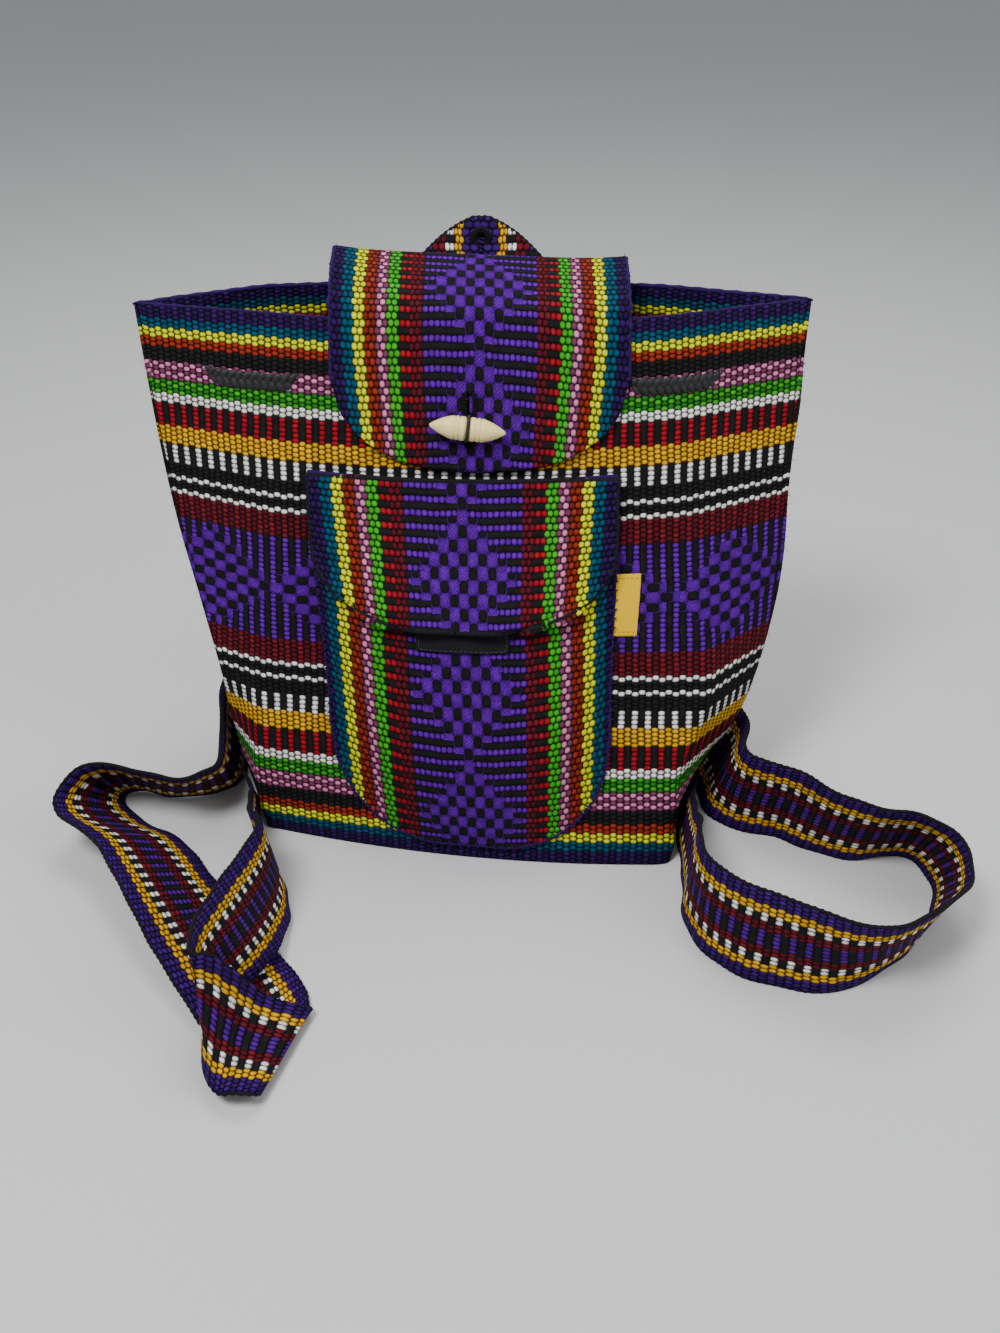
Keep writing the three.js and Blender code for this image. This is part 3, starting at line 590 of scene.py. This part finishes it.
def bag_ring(level):
    """The bag's outline at a level, as points from the left seam to the right one, front then back."""
    centre = np.array([0.0, np.interp(level, [0, 0.3, 0.6, 1], [0.0, 0.016, 0.045, 0.066]), 0.0])
    found = []
    for k in range(RAYS):
        a = 2 * math.pi * k / RAYS
        out = np.array([math.cos(a), math.sin(a), 0.0])
        z = level * RIM_SEAM
        point = None
        for _ in range(2):
            start = centre + out * 0.4
            start[2] = z
            point = shell.hit(start, -out)
            if point is None:
                break
            rim = RIM_FRONT if out[1] < 0 else RIM_BACK
            z = level * (RIM_SEAM + (rim - RIM_SEAM) * max(0, 1 - abs(point[0]) / MOUTH_HALF))
        if point is not None:
            found.append(point)
    found = np.array(found)
    left = int(np.argmin(found[:, 0]))
    found = np.roll(found, -left, axis=0)
    right = int(np.argmax(found[:, 0]))
    front = found[:right + 1]
    back = np.concatenate([found[right:], found[:1]])
    return even(front, HALF_COLUMNS), even(back, HALF_COLUMNS)


rings = [bag_ring(level) for level in LEVELS]
front = np.array([r[0] for r in rings])
back = np.array([r[1] for r in rings])
smooth_front = refine(refine(front, 4, 0), 3, 1)
smooth_back = refine(refine(back, 4, 0), 3, 1)
levels = refine(np.array(LEVELS)[:, None, None], 4, 0)[:, 0, 0]


def settle(panel):
    """Small waves of a cloth that has been folded, fading out where it is sewn."""
    m, n = panel.shape[:2]
    s = np.linspace(0, 1, n)[None, :]
    t = levels[:, None]
    wave = (np.sin(7.3 * s * math.pi + 2.1 * t) * 0.5 + np.sin(13.1 * s + 9.0 * t + 1.0) * 0.35
            + np.sin(23.0 * s - 6.0 * t) * 0.25)
    fade = np.sin(math.pi * s) ** 0.6 * np.clip((t - 0.78) / 0.22, 0, 1)
    return panel - normals(panel) * (np.abs(wave) * fade * 0.0004)[:, :, None]


def panel_uv(panel, centre_x):
    """Length round the panel from where it crosses centre_x, and picks down from the rim."""
    length = arc(panel, 1)
    zero = np.array([np.interp(centre_x, row[:, 0] * direction, lengths)
                     for row, lengths, direction in
                     ((r, l, 1 if r[-1, 0] > r[0, 0] else -1) for r, l in zip(panel, length))])
    u = (length - zero[:, None]) / PERIOD
    v = np.broadcast_to((1 - levels)[:, None] * BODY_ROWS, u.shape)
    return u, within(v, BODY_ROWS)


bag = Build()
for panel, centre_x in ((smooth_front, 0.034), (smooth_back, 0.0)):
    u, v = panel_uv(panel, centre_x)
    grid = settle(panel)
    bag.sheet(grid[::-1], u[::-1], v[::-1], CLOTH)
# The flat bottom, outer face and inner one
floor_line = np.concatenate([smooth_front[0], smooth_back[0][1:-1]])
for z, share, order in ((0.0005, 1.0, -1), (0.0025, 0.985, 1)):
    ring = floor_line.copy()
    ring[:, 2] = z
    ring[:, :2] *= share
    centre = np.array([[0.0, 0.0, z]])
    n = len(ring)
    faces = [(k, (k + 1) % n, n)[::order] for k in range(n)]
    points = np.concatenate([ring, centre])
    corners = [(p[0] / PERIOD, BODY_ROWS / 2 + p[1] / PICK) for p in points]
    bag.put(points, faces, [[corners[i] for i in f] for f in faces], 0, True)

# Rolled and whipped hem along the mouth
rim_line = np.concatenate([smooth_front[-1], smooth_back[-1][1:-1]])
rim_normals = np.concatenate([normals(smooth_front)[-1], normals(smooth_back)[-1][1:-1]])
hem = rim_line + rim_normals * 0.001
hem[:, 2] -= 0.0004
bag.tube(hem, 0.00112 + 0.0002 * np.sin(np.arange(len(hem)) * 1.9), 8, 1, True)
bag.fibres(hem, np.tile([0.0, 0, 1.0], (len(hem), 1)), 190)
for panel in (smooth_front, smooth_back):
    bag.fibres(panel[4:-4, ::4], -normals(panel)[4:-4, ::4], 150, 1, 0.0022)
    for column in (0, -1):
        side = np.tile([math.copysign(1.0, panel[20, column, 0]), 0, 0], (len(panel) - 8, 1))
        bag.fibres(panel[4:-4, column], side, 60, 1, 0.0026)
bag.make("bag_cloth", [body_cloth, hem_thread], ["bag_body"])


# Flap

flap_cad = Cad("main_flap")
FLAP_X, FLAP_HALF = 0.008, 0.0665
SLIT_CLEAR = 0.0017


def flap_column(x):
    """The outer face of the flap in one upright plane, from its tail to its lower edge."""
    axis = np.array([x, 0.060, 0.212])
    line = []
    for k in range(900):
        a = math.radians(-10 + 250 * k / 899)
        out = np.array([0.0, math.cos(a), math.sin(a)])
        point = flap_cad.hit(axis + out * 0.3, -out)
        if point is not None and (point - axis) @ out > 0.012:
            line.append(point)
    return np.array(line)


flap_shares = np.sin(np.linspace(-0.5, 0.5, 23) * math.pi * 0.94) / math.sin(math.pi * 0.47) * 0.999
flap_columns = []
for share in flap_shares:
    x = FLAP_X + share * FLAP_HALF
    if abs(x - SLIT_X) < 0.0016:
        x = SLIT_X + math.copysign(SLIT_CLEAR, x - SLIT_X)
    flap_columns.append(even(flap_column(x), 61))
flap = np.array(flap_columns).transpose(1, 0, 2)
flap = refine(refine(flap, 2, 0), 4, 1)
flap_length = arc(flap, 0)
crown = np.clip((flap[:, :, 2] - 0.231) / 0.010, 0, 1)
aside = (flap[:, :, 0] - FLAP_X) / FLAP_HALF
flap[:, :, 2] += crown * (np.abs(aside) ** 4 * 0.0022 - aside * 0.0024)


def plane_uv(grid, low_x, width, rows, zero):
    """Length down an upright piece from a given arc length, and the rows across it."""
    return (arc(grid, 0) - zero) / PERIOD, within((grid[:, :, 0] - low_x) / width * rows, rows)


middle_column = flap[:, flap.shape[1] // 2]
on_front = np.flatnonzero((middle_column[:, 1] < 0.045) & (middle_column[:, 2] < FLAP_WAIST_Z))[0]
flap_u, flap_v = plane_uv(flap, FLAP_X - FLAP_HALF, 2 * FLAP_HALF, FLAP_ROWS,
                          flap_length[on_front, flap.shape[1] // 2])
lower = np.clip((FLAP_WAIST_Z - flap[:, :, 2]) / 0.05, 0, 1) * (flap[:, :, 1] < 0.045)
flap_u = flap_u * 0.94
flap_v = within(FLAP_MIDDLE + (flap_v - FLAP_MIDDLE) * (1 + 0.10 * lower ** 1.2), FLAP_ROWS)
flap_mid = (flap[:-1, :-1] + flap[1:, 1:]) / 2
in_slit = (np.abs(flap_mid[:, :, 0] - SLIT_X) < 0.0011) & (flap_mid[:, :, 1] < 0.04)
in_slit &= (flap_mid[:, :, 2] > SLIT_LOW) & (flap_mid[:, :, 2] < SLIT_HIGH)
lips = np.exp(-((flap[:, :, 0] - SLIT_X) / 0.004) ** 2) * (flap[:, :, 1] < 0.04)
lips = lips * np.clip((flap[:, :, 2] - SLIT_LOW + 0.004) / 0.004, 0, 1)
lips = lips * np.clip((SLIT_HIGH + 0.004 - flap[:, :, 2]) / 0.004, 0, 1)
flap_shape = flap + normals(flap) * (lips * 0.0009)[:, :, None]
flap_build = Build()
flap_build.sheet(flap_shape, flap_u, flap_v, 0.0023, ~in_slit)
# Thread worked round the buttonhole and over the flap's edge
front_rows = np.flatnonzero((middle_column[:, 1] < 0.04) & (middle_column[:, 2] > SLIT_LOW)
                            & (middle_column[:, 2] < SLIT_HIGH))
flap_normals = normals(flap_shape)
for side in (-1, 1):
    column = int(np.argmin(np.abs(flap[0, :, 0] - (SLIT_X + side * 0.0022))))
    line = flap_shape[front_rows, column]
    lift = flap_normals[front_rows, column]
    flap_build.stitches(line + lift * 0.0001, 0.0009, 0.0026, 0.00034, 2, lift, 0.15,
                        np.tile([1.0, 0, 0], (len(line), 1)))
edge = np.concatenate([flap_shape[8:, 0], flap_shape[-1, 1:-1], flap_shape[8:, -1][::-1]])
edge_out = np.concatenate([flap_normals[8:, 0], flap_normals[-1, 1:-1], flap_normals[8:, -1][::-1]])
flap_build.hem(edge, edge_out, 0.0011, 420, 0.00115, 0.00016, 8)
flap_build.fibres(edge, edge_out, 90, 1)
flap_build.fibres(flap_shape[6:-2:3, ::3], flap_normals[6:-2:3, ::3], 120, 1, 0.0022)
flap_build.make("flap_cloth", [flap_cloth, hem_thread, dark_thread_and_edge_shade], ["main_flap"])


# Pocket, its flap and the hook strip, read from the front

def front_grid(name, z_top, z_bottom, rows, columns):
    """The outer face of an upright piece as level rows between its two side edges."""
    cad = Cad(name)
    grid = []
    for z in np.concatenate([[z_top], np.linspace(z_top - 0.001, z_bottom + 0.0004, rows - 1)]):
        xs = np.arange(-0.076, 0.0761, 0.0005)
        hits = [cad.hit((x, -0.3, z), (0, 1, 0)) for x in xs]
        solid = np.flatnonzero([h is not None for h in hits])
        if len(solid) < 4:
            continue
        low, high = xs[solid[0]], xs[solid[-1]]
        line = np.array([hits[k] for k in solid])
        wanted = np.sin(np.linspace(-0.5, 0.5, columns) * math.pi * 0.9) / math.sin(math.pi * 0.45)
        wanted = (low + high) / 2 + wanted * (high - low) / 2
        y = np.interp(wanted, line[:, 0], line[:, 1])
        grid.append(np.stack([wanted, y, np.full(columns, z)], axis=1))
    return np.array(grid)


FRONT_OUT = np.array([0.0, -0.93, 0.37])
POCKET_DRIFT = 0.0045
POCKET_TOP_Z, POCKET_TALL = 0.1645, 0.158
POCKET_HALF, POCKET_NARROWING = 0.070, 0.08


def pocket_share(grid):
    """How far down the pocket each point lies, from 0 at its top to 1."""
    return np.clip((POCKET_TOP_Z - grid[:, :, 2]) / POCKET_TALL, 0, 1)


def pocket_rows(grid):
    """Rows across the pocket or its flap, which both narrow downwards."""
    narrow = 1 - POCKET_NARROWING * pocket_share(grid) ** 1.5
    return within(FLAP_MIDDLE + grid[:, :, 0] / (POCKET_HALF * narrow) * FLAP_MIDDLE, FLAP_ROWS)


def middle_length(grid):
    """Length down the middle column, the same for every column."""
    return np.broadcast_to(arc(grid, 0)[:, grid.shape[1] // 2][:, None], grid.shape[:2])


def drift(grid, thickness):
    """The pocket hangs a little to one side; its cloth stays clear of the bag."""
    moved = grid.copy()
    moved[:, :, 0] += POCKET_DRIFT * pocket_share(grid)
    for row in moved:
        for point in row:
            wall = shell.hit((point[0], -0.3, point[2]), (0, 1, 0))
            if wall is not None:
                point[1] = min(point[1], wall[1] - thickness)
    return moved


def edge_of(grid):
    line = np.concatenate([grid[:, 0], grid[-1, 1:-1], grid[:, -1][::-1]])
    return line, np.tile(FRONT_OUT, (len(line), 1))


pocket = front_grid("pocket", 0.1652, 0.0072, 60, 31)
pocket = refine(refine(pocket, 2, 0), 3, 1)
pocket_v = pocket_rows(pocket)
pocket_arc = middle_length(pocket)
zero_row = int(np.argmin(np.abs(pocket[:, pocket.shape[1] // 2, 2] - POCKET_CROSSING_Z)))
pocket_u = (pocket_arc - pocket_arc[zero_row]) / PERIOD
pocket = drift(pocket, 0.0026)
pocket_build = Build()
pocket_build.sheet(pocket, pocket_u, pocket_v, 0.0019)
pocket_edge, pocket_out = edge_of(pocket)
pocket_build.hem(pocket_edge, pocket_out, 0.0008, 420, 0.00095, 0.00012, 7)
lip = even(pocket[0] + np.array([0, 0.0009, 0.0]), 160)
pocket_build.tube(lip, 0.0012, 8, 1)
sewn = even(pocket_edge[6:-6], 300)
tangent = np.gradient(sewn, axis=0)
tangent /= np.linalg.norm(tangent, axis=1, keepdims=True)
sewn_out = np.tile(FRONT_OUT, (300, 1))
pocket_build.stitches(sewn + sewn_out * 0.0001, 0.0042, 0.0036, 0.00045, 1, sewn_out, 0.5,
                      np.cross(tangent, sewn_out))
pocket_build.fibres(pocket_edge, pocket_out, 90, 1)
pocket_build.fibres(pocket[::3, ::3], np.tile(FRONT_OUT, (pocket[::3, ::3].size // 3, 1)), 80, 1, 0.0022)
pocket_build.make("pocket_cloth", [flap_cloth, hem_thread], ["pocket"])

small = front_grid("pocket_flap", 0.1666, 0.1112, 36, 31)
small = refine(refine(small, 2, 0), 3, 1)
down = np.linspace(0, 1, small.shape[0])[:, None]
small_v = within(FLAP_MIDDLE + (pocket_rows(small) - FLAP_MIDDLE) * (1 + 0.09 * down ** 1.3), FLAP_ROWS)
small_arc = middle_length(small)
aside = np.abs(np.linspace(-1, 1, small.shape[1]))[None, :]
lifted = np.clip((down - 0.45) / 0.55, 0, 1) ** 2 * (0.0032 - 0.0012 * np.cos(aside * 9.0))
lifted = lifted + np.clip((aside - 0.82) / 0.18, 0, 1) ** 2 * 0.0012 * np.clip(down * 3, 0, 1)
small = drift(small, 0.0) + FRONT_OUT * lifted[:, :, None]
small_build = Build()
small_build.sheet(small, (small_arc - 0.0125) / PERIOD, small_v, 0.0021)
small_edge, small_out = edge_of(small)
# Hem, lip and loose hairs in near-black: painted shadow along the pocket flap's edge
small_build.hem(small_edge, small_out, 0.0010, 360, 0.00110, 0.00015, 8)
lip = even(small[0] + np.array([0, 0.0010, 0.0002]), 160)
small_build.tube(lip, 0.0012, 8, 1)
small_build.fibres(small_edge, small_out, 70, 1)
small_build.make("pocket_flap_cloth", [flap_cloth, dark_thread_and_edge_shade], ["pocket_flap"])

strip = front_grid("hook_strip", 0.1150, 0.1022, 8, 17)
strip = refine(refine(strip, 2, 0), 3, 1)
strip = drift(strip, 0.0)
strip_build = Build()
strip_build.sheet(strip, strip[:, :, 0] / PERIOD, strip[:, :, 2] / PICK, 0.0011)
strip_edge, strip_out = edge_of(strip)
strip_seam = strip_edge + (strip[4, 24] - strip_edge) * 0.06 + strip_out * 0.0001
strip_build.stitches(even(strip_seam, 120), 0.0022, 0.0016, 0.00028, 1, strip_out)
strip_build.make("hook_tape", [hook_tape, grey_thread], ["hook_strip"])


# Side tab: a short folded band, sewn down at both ends

tab_cad = Cad("side_tab")
tab_low, tab_high = tab_cad.points.min(axis=0), tab_cad.points.max(axis=0)
tab_rows = []
for z in np.linspace(tab_high[2] - 0.0015, tab_low[2] + 0.0015, 15):
    xs = np.arange(tab_low[0] - 0.001, tab_high[0] + 0.001, 0.0002)
    hits = [tab_cad.hit((x, -0.3, z), (0, 1, 0)) for x in xs]
    line = np.array([h for h in hits if h is not None])
    tab_rows.append(even(line, 9))
tab = refine(refine(np.array(tab_rows), 2, 0), 2, 1)
tab_build = Build()
tab_shape = tab.copy()
swell = np.sin(np.linspace(0, 1, tab.shape[0]) * math.pi)[:, None] * 0.0006
tab_shape += normals(tab) * swell[:, :, None]
tab_build.sheet(tab_shape, tab[:, :, 2] / PERIOD, tab[:, :, 0] / PICK, 0.0009)
for row in (2, -3):
    tab_out = normals(tab)[row, 1:-1]
    tab_build.stitches(tab_shape[row, 1:-1] + tab_out * 0.00005, 0.0018, 0.0013, 0.0002, 1, tab_out)
tab_build.make("tab_cloth", [tab_cloth, gold_thread], ["side_tab"])


# Toggle and its cord

toggle_points = Cad("toggle").points
centre = (toggle_points.min(axis=0) + toggle_points.max(axis=0)) / 2
tilt = math.radians(7)
axis_x = np.array([math.cos(tilt), 0, -math.sin(tilt)])
axis_z = np.array([math.sin(tilt), 0, math.cos(tilt)])
axis_y = np.array([0, 1.0, 0])
TOGGLE_HALF, TOGGLE_RADIUS = 0.017, 0.0053
# Half of the turned profile, as shares of the half length and of the radius
profile = [(-1, 0.02), (-0.985, 0.11), (-0.95, 0.21), (-0.88, 0.35), (-0.78, 0.53),
           (-0.66, 0.71), (-0.54, 0.85), (-0.44, 0.945), (-0.375, 0.985), (-0.345, 0.965),
           (-0.33, 0.885), (-0.315, 0.965), (-0.295, 1.0), (-0.255, 1.0), (-0.235, 0.965),
           (-0.22, 0.885), (-0.205, 0.965), (-0.18, 1.0), (-0.10, 1.0), (-0.065, 0.96),
           (-0.045, 0.88), (0, 0.86)]
profile = profile + [(-a, r) for a, r in profile[:-1]][::-1]
sides = 56
rings_t = []
for a, r in profile:
    ring = []
    for k in range(sides):
        t = 2 * math.pi * k / sides
        wobble = 1 + 0.012 * math.sin(2 * t + a * 3) + 0.006 * math.sin(5 * t + 7 * a)
        outward = axis_y * math.cos(t) + axis_z * math.sin(t)
        ring.append(centre + axis_x * a * TOGGLE_HALF + outward * r * TOGGLE_RADIUS * wobble)
    rings_t.append(ring)
toggle_build = Build()
faces, uvs = [], []
for i in range(len(profile) - 1):
    for k in range(sides):
        l = (k + 1) % sides
        faces.append((i * sides + k, i * sides + l, (i + 1) * sides + l, (i + 1) * sides + k))
        uvs.append(((i, k), (i, k + 1), (i + 1, k + 1), (i + 1, k)))
last = (len(profile) - 1) * sides
faces += [tuple(range(sides))[::-1], tuple(last + k for k in range(sides))]
uvs += [[(0, 0)] * sides] * 2
toggle_build.put(np.array(rings_t).reshape(-1, 3), faces, uvs)
toggle_build.make("toggle_bone", [bone], ["toggle"])


def twisted(build, line, radius, pitch, strands=3, slot=0, closed=False, count=None):
    """A laid cord: strands turning about one another along a line."""
    line = np.asarray(line, float)
    length = np.linalg.norm(np.diff(line, axis=0), axis=1).sum()
    count = count or int(length / pitch * 10)
    line = even(line, count)
    along = np.gradient(line, axis=0)
    along /= np.linalg.norm(along, axis=1, keepdims=True)
    side = np.cross(along, [0.11, 0.2, 0.97])
    side /= np.linalg.norm(side, axis=1, keepdims=True)
    top = np.cross(side, along)
    turns = round(length / pitch)
    angle = np.linspace(0, 2 * math.pi * turns, count)[:, None]
    for k in range(strands):
        a = angle + 2 * math.pi * k / strands
        strand = line + (side * np.cos(a) + top * np.sin(a)) * radius * 0.5
        build.tube(strand[:-1] if closed else strand, radius * 0.56, 6, slot, closed)


cord_build = Build()
angles = np.linspace(0, 2 * math.pi, 60)
ring_line = np.array([centre + (axis_y * math.cos(t) + axis_z * math.sin(t)) * 0.00545 for t in angles])
twisted(cord_build, ring_line, 0.0008, 0.0024, 3, 0, True, 120)
reach_y = Cad("toggle_cord").points[:, 1].max() - 0.0005
stem = np.array([centre + axis_y * t for t in np.linspace(0.0060, max(reach_y - centre[1], 0.0065), 12)])
twisted(cord_build, stem, 0.00105, 0.0026)
cord_build.make("toggle_cord_yarn", [braid_yarn], ["toggle_cord"])


# Drawstring: a flat plait on its closed route

PLAIT_POINTS, PLAIT_TURNS, PLAIT_Z = 1500, 58, 0.201
route = Cad("drawstring").points
route = route[route[:, 2] > route[:, 2].max() - 0.0002]
route = np.unique(np.round(route, 6), axis=0)
turn = np.arctan2(route[:, 1] - 0.064, route[:, 0] - 0.004)
route = route[np.argsort(turn)]
route[:, 2] = PLAIT_Z
route = even(np.concatenate([route, route[:1]]), PLAIT_POINTS)
along = np.gradient(route, axis=0)
along /= np.maximum(np.linalg.norm(along, axis=1, keepdims=True), 1e-9)
out = np.cross(along, [0, 0, 1.0])
travelled = np.linspace(0, 2 * math.pi * PLAIT_TURNS, PLAIT_POINTS)[:, None]
plait = Build()
for k in range(3):
    a = travelled + 2 * math.pi * k / 3
    strand = route + np.array([0, 0, 1.0]) * np.sin(a) * 0.0027
    strand = strand + out * (np.sin(2 * a) * 0.0004 + 0.0002)
    plait.tube(strand[:-1], 0.0017, 8, 0, True, 0.5, out[:-1])
plait.make("drawstring_braid", [braid_yarn], ["drawstring"])


# Straps

def stations(name):
    """Rows of six corners along a strap, from its upper end."""
    cad = Cad(name)
    keys = np.round(cad.points, 6)
    unique, index = np.unique(keys, axis=0, return_inverse=True)
    index = index.ravel()
    near = [set() for _ in unique]
    for face in cad.faces:
        ids = [int(index[v]) for v in face]
        for a in ids:
            near[a].update(ids)
    start = set(np.argsort(-unique[:, 2])[:6].tolist())
    seen, groups, level = set(start), [], set(start)
    while level:
        groups.append(np.array([unique[k] for k in sorted(level)]))
        level = {b for a in level for b in near[a]} - seen
        seen |= level
    return groups


def strap(name, piece_name):
    groups = stations(name)
    lines, before_w = [], None
    for points in groups:
        centre = points.mean(axis=0)
        gaps = points[:, None] - points[None]
        far = np.unravel_index(np.argmax((gaps ** 2).sum(axis=2)), gaps.shape[:2])
        w = gaps[far]
        w /= np.linalg.norm(w)
        if before_w is None:
            w = w if w[0] > 0 else -w
        elif w @ before_w < 0:
            w = -w
        before_w = w
        flat_w = points @ w
        # The mean place of each end gives the true line across, whatever the cloth's thickness
        high = points[np.argsort(-flat_w)[:2]].mean(axis=0)
        low = points[np.argsort(flat_w)[:2]].mean(axis=0)
        lines.append([low, high])
    lines = np.array(lines)
    shares = np.linspace(0, 1, 13)[None, :, None]
    grid = lines[:, :1] * (1 - shares) + lines[:, 1:] * shares
    grid = refine(grid, 4, 0)
    m, n = grid.shape[:2]
    centre_line = grid[:, n // 2]
    length = np.concatenate([[0], np.cumsum(np.linalg.norm(np.diff(centre_line, axis=0), axis=1))])
    face = normals(grid)
    s = np.linspace(-1, 1, n)[None, :]
    ripple = np.sin(length[:, None] * 260 + s * 2.2) * np.abs(s) ** 3 * 0.00035
    grid = grid + face * ripple[:, :, None]
    outer = grid + normals(grid) * 0.00095
    u = np.broadcast_to((length / PERIOD * 0.92)[:, None], (m, n))
    v = within(np.broadcast_to((s + 1) / 2 * STRAP_ROWS, (m, n)), STRAP_ROWS)
    build = Build()
    build.sheet(outer, u, v, 0.0019, None, 0, 1)
    for column in (0, -1):
        line = even(grid[:, column], int(length[-1] / 0.00078))
        t = np.arange(len(line)) * 2 * math.pi / 4
        build.tube(line, 0.00078 + 0.00024 * np.sin(t), 6, 1)
    for column, sign in ((0, -1), (-1, 1)):
        away = (grid[:, -1] - grid[:, 0]) * sign
        away /= np.linalg.norm(away, axis=1, keepdims=True)
        build.fibres(grid[:, column], away, 150, 1, 0.0020)
    piece = build.make(piece_name, [strap_cloth, dark_thread_and_edge_shade], [name])


strap("strap_left", "strap_left_cloth")
strap("strap_right", "strap_right_cloth")


# Strap tip: two tails side by side, mitred to a point

TIP_X, TIP_HALF, TIP_COLUMNS = 0.008, 0.0465, 29
TIP_TOP_Z, TIP_SHOULDER_Z, TIP_LOW_Z = 0.256, 0.220, 0.2124
tip_cad = Cad("strap_tip")
tip_rows = []
for z in np.concatenate([np.linspace(0.2556, 0.2212, 24), np.linspace(0.2196, TIP_LOW_Z, 6), [0.2105]]):
    xs = np.arange(-0.04, 0.0561, 0.0005)
    hits = [tip_cad.hit((x, 0.3, max(z, TIP_LOW_Z)), (0, -1, 0)) for x in xs]
    line = np.array([h for h in hits if h is not None])
    if len(line) < 3:
        continue
    half = TIP_HALF
    if z > TIP_SHOULDER_Z:
        half *= (max(TIP_TOP_Z - z, 0.0006) / 0.036) ** 0.62
    wanted = TIP_X + np.linspace(-half, half, TIP_COLUMNS)
    across = np.interp(wanted, line[:, 0], line[:, 1])
    tip_rows.append(np.stack([wanted, across, np.full(TIP_COLUMNS, z)], axis=1)[::-1])
tip = refine(refine(np.array(tip_rows), 2, 0), 2, 1)
from_middle = np.abs(tip[:, :, 0] - TIP_X)
tip_v = np.interp(from_middle, [0, 0.0088, 0.0123, 0.0165, 0.023, 0.047], [1.01, 3, 5, 7, 9, 20])
lower = np.clip((0.245 - tip[:, :, 2]) / 0.025, 0, 1)
tip_v = within(tip_v * (1 - lower) + from_middle / 0.00211 * lower, STRAP_ROWS)
tip_build = Build()
tip_build.sheet(tip, tip[:, :, 2] / PERIOD, tip_v, 0.0019)
sides_only = np.concatenate([tip[:, 0][::-1], tip[0, 1:-1], tip[:, -1]])
sides_out = np.concatenate([normals(tip)[:, 0][::-1], normals(tip)[0, 1:-1], normals(tip)[:, -1]])
tip_ripple = 0.0002 * np.sin(np.arange(200) * 1.57)
tip_build.tube(even(sides_only - sides_out * 0.00095, 200), 0.0011 + tip_ripple, 7, 1)
seam = tip[6:-2, tip.shape[1] // 2]
for sign, gap in ((1, 0.0001), (-1, 0.00195)):
    lift = normals(tip)[6:-2, tip.shape[1] // 2] * sign
    tip_build.stitches(seam + lift * gap, 0.0021, 0.0034, 0.00045, 1, lift, 0.35,
                       np.tile([1.0, 0, 0.0], (len(seam), 1)))
join = tip[-1, 2:-2] + np.array([0, 0.0002, 0.0002])
tip_build.stitches(join, 0.0024, 0.0019, 0.00042, 1, normals(tip)[-1, 2:-2])
# Eyelet worked in dark thread
eyelet_row = int(np.argmin(np.abs(tip[:, tip.shape[1] // 2, 2] - 0.2465)))
eyelet = tip[eyelet_row, tip.shape[1] // 2] - normals(tip)[eyelet_row, tip.shape[1] // 2] * 0.0021
turn = np.linspace(0, 2 * math.pi, 41)[:, None]
for radius, thick in ((0.0046, 0.0007), (0.0034, 0.0007), (0.0022, 0.0006)):
    ring = eyelet + np.array([1.0, 0, 0]) * np.cos(turn) * radius
    ring = ring + np.array([0, 0.18, 0.98]) * np.sin(turn) * radius
    tip_build.tube(ring[:-1], thick, 6, 1, True)
for k in range(22):
    t = 2 * math.pi * k / 22
    ray = np.array([math.cos(t), 0.18 * math.sin(t), 0.98 * math.sin(t)])
    tip_build.tube([eyelet + ray * 0.0018 + [0, -0.0004, 0], eyelet + ray * 0.0038 + [0, -0.0011, 0],
                    eyelet + ray * 0.0058 + [0, -0.0002, 0]], [0.0003, 0.0005, 0.0003], 5, 1)
# A stray end of thread at the point
tip_build.tube([[0.0075, 0.1005, 0.2545], [0.0078, 0.0995, 0.2562], [0.0090, 0.0985, 0.2585],
                [0.0100, 0.0985, 0.2600]], [0.0002, 0.0002, 0.00018, 0.0001], 4, 1)
tip_build.fibres(sides_only, np.tile([0.0, 0, 1.0], (len(sides_only), 1)), 60, 1, 0.0022)
tip_build.make("strap_tip_cloth", [strap_cloth, dark_thread_and_edge_shade], ["strap_tip"])


# Floor, light and camera

bpy.ops.mesh.primitive_plane_add(size=16, location=(0, 0, 0))
floor = bpy.context.object
floor.name = "floor"
floor_graph = Graph("floor_pale")
spots = floor_graph.noise(floor_graph.place(), 4.0, 2.0)
floor_color = floor_graph.shade([0.62, 0.62, 0.61], spots * 0.03 + 0.985)
floor.data.materials.append(floor_graph.finish(floor_color, spots, 0.00001, 0.7, 0.2))
floor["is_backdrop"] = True


def light(name, location, target, size, energy, color):
    data = bpy.data.lights.new(name, "AREA")
    data.shape = "DISK"
    data.size = size
    data.energy = energy
    data.color = color
    lamp = bpy.data.objects.new(name, data)
    lamp.location = location
    aim = Vector(target) - Vector(location)
    lamp.rotation_euler = aim.to_track_quat("-Z", "Y").to_euler()
    bpy.context.scene.collection.objects.link(lamp)


light("key", (-0.45, -0.65, 1.25), (0, 0, 0.1), 0.5, 17.0, (0.97, 0.98, 1.0))
light("fill", (0.95, -0.5, 0.8), (0, 0, 0.1), 1.0, 6.0, (0.95, 0.97, 1.0))
light("top", (0.1, 0.5, 1.2), (0, 0.05, 0.1), 0.8, 7.0, (1.0, 0.99, 0.97))

world = bpy.data.worlds.new("soft_room")
world.use_nodes = True
background = world.node_tree.nodes["Background"]
background.inputs[0].default_value = (0.86, 0.90, 0.95, 1)
background.inputs[1].default_value = 0.42
bpy.context.scene.world = world

camera_data = bpy.data.cameras.new("camera")
camera_data.lens = 37.8
camera_data.sensor_width = 36
camera = bpy.data.objects.new("camera", camera_data)
camera.location = (0.017, -0.571, 0.418)
camera.rotation_euler = (math.radians(58.8), 0, 0)
bpy.context.scene.collection.objects.link(camera)
bpy.context.scene.camera = camera

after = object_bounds()


def plain_list(value):
    return [plain_list(v) for v in value] if hasattr(value, "__len__") and not isinstance(value, str) else value


{"before": plain_list(before), "after": plain_list(after)}
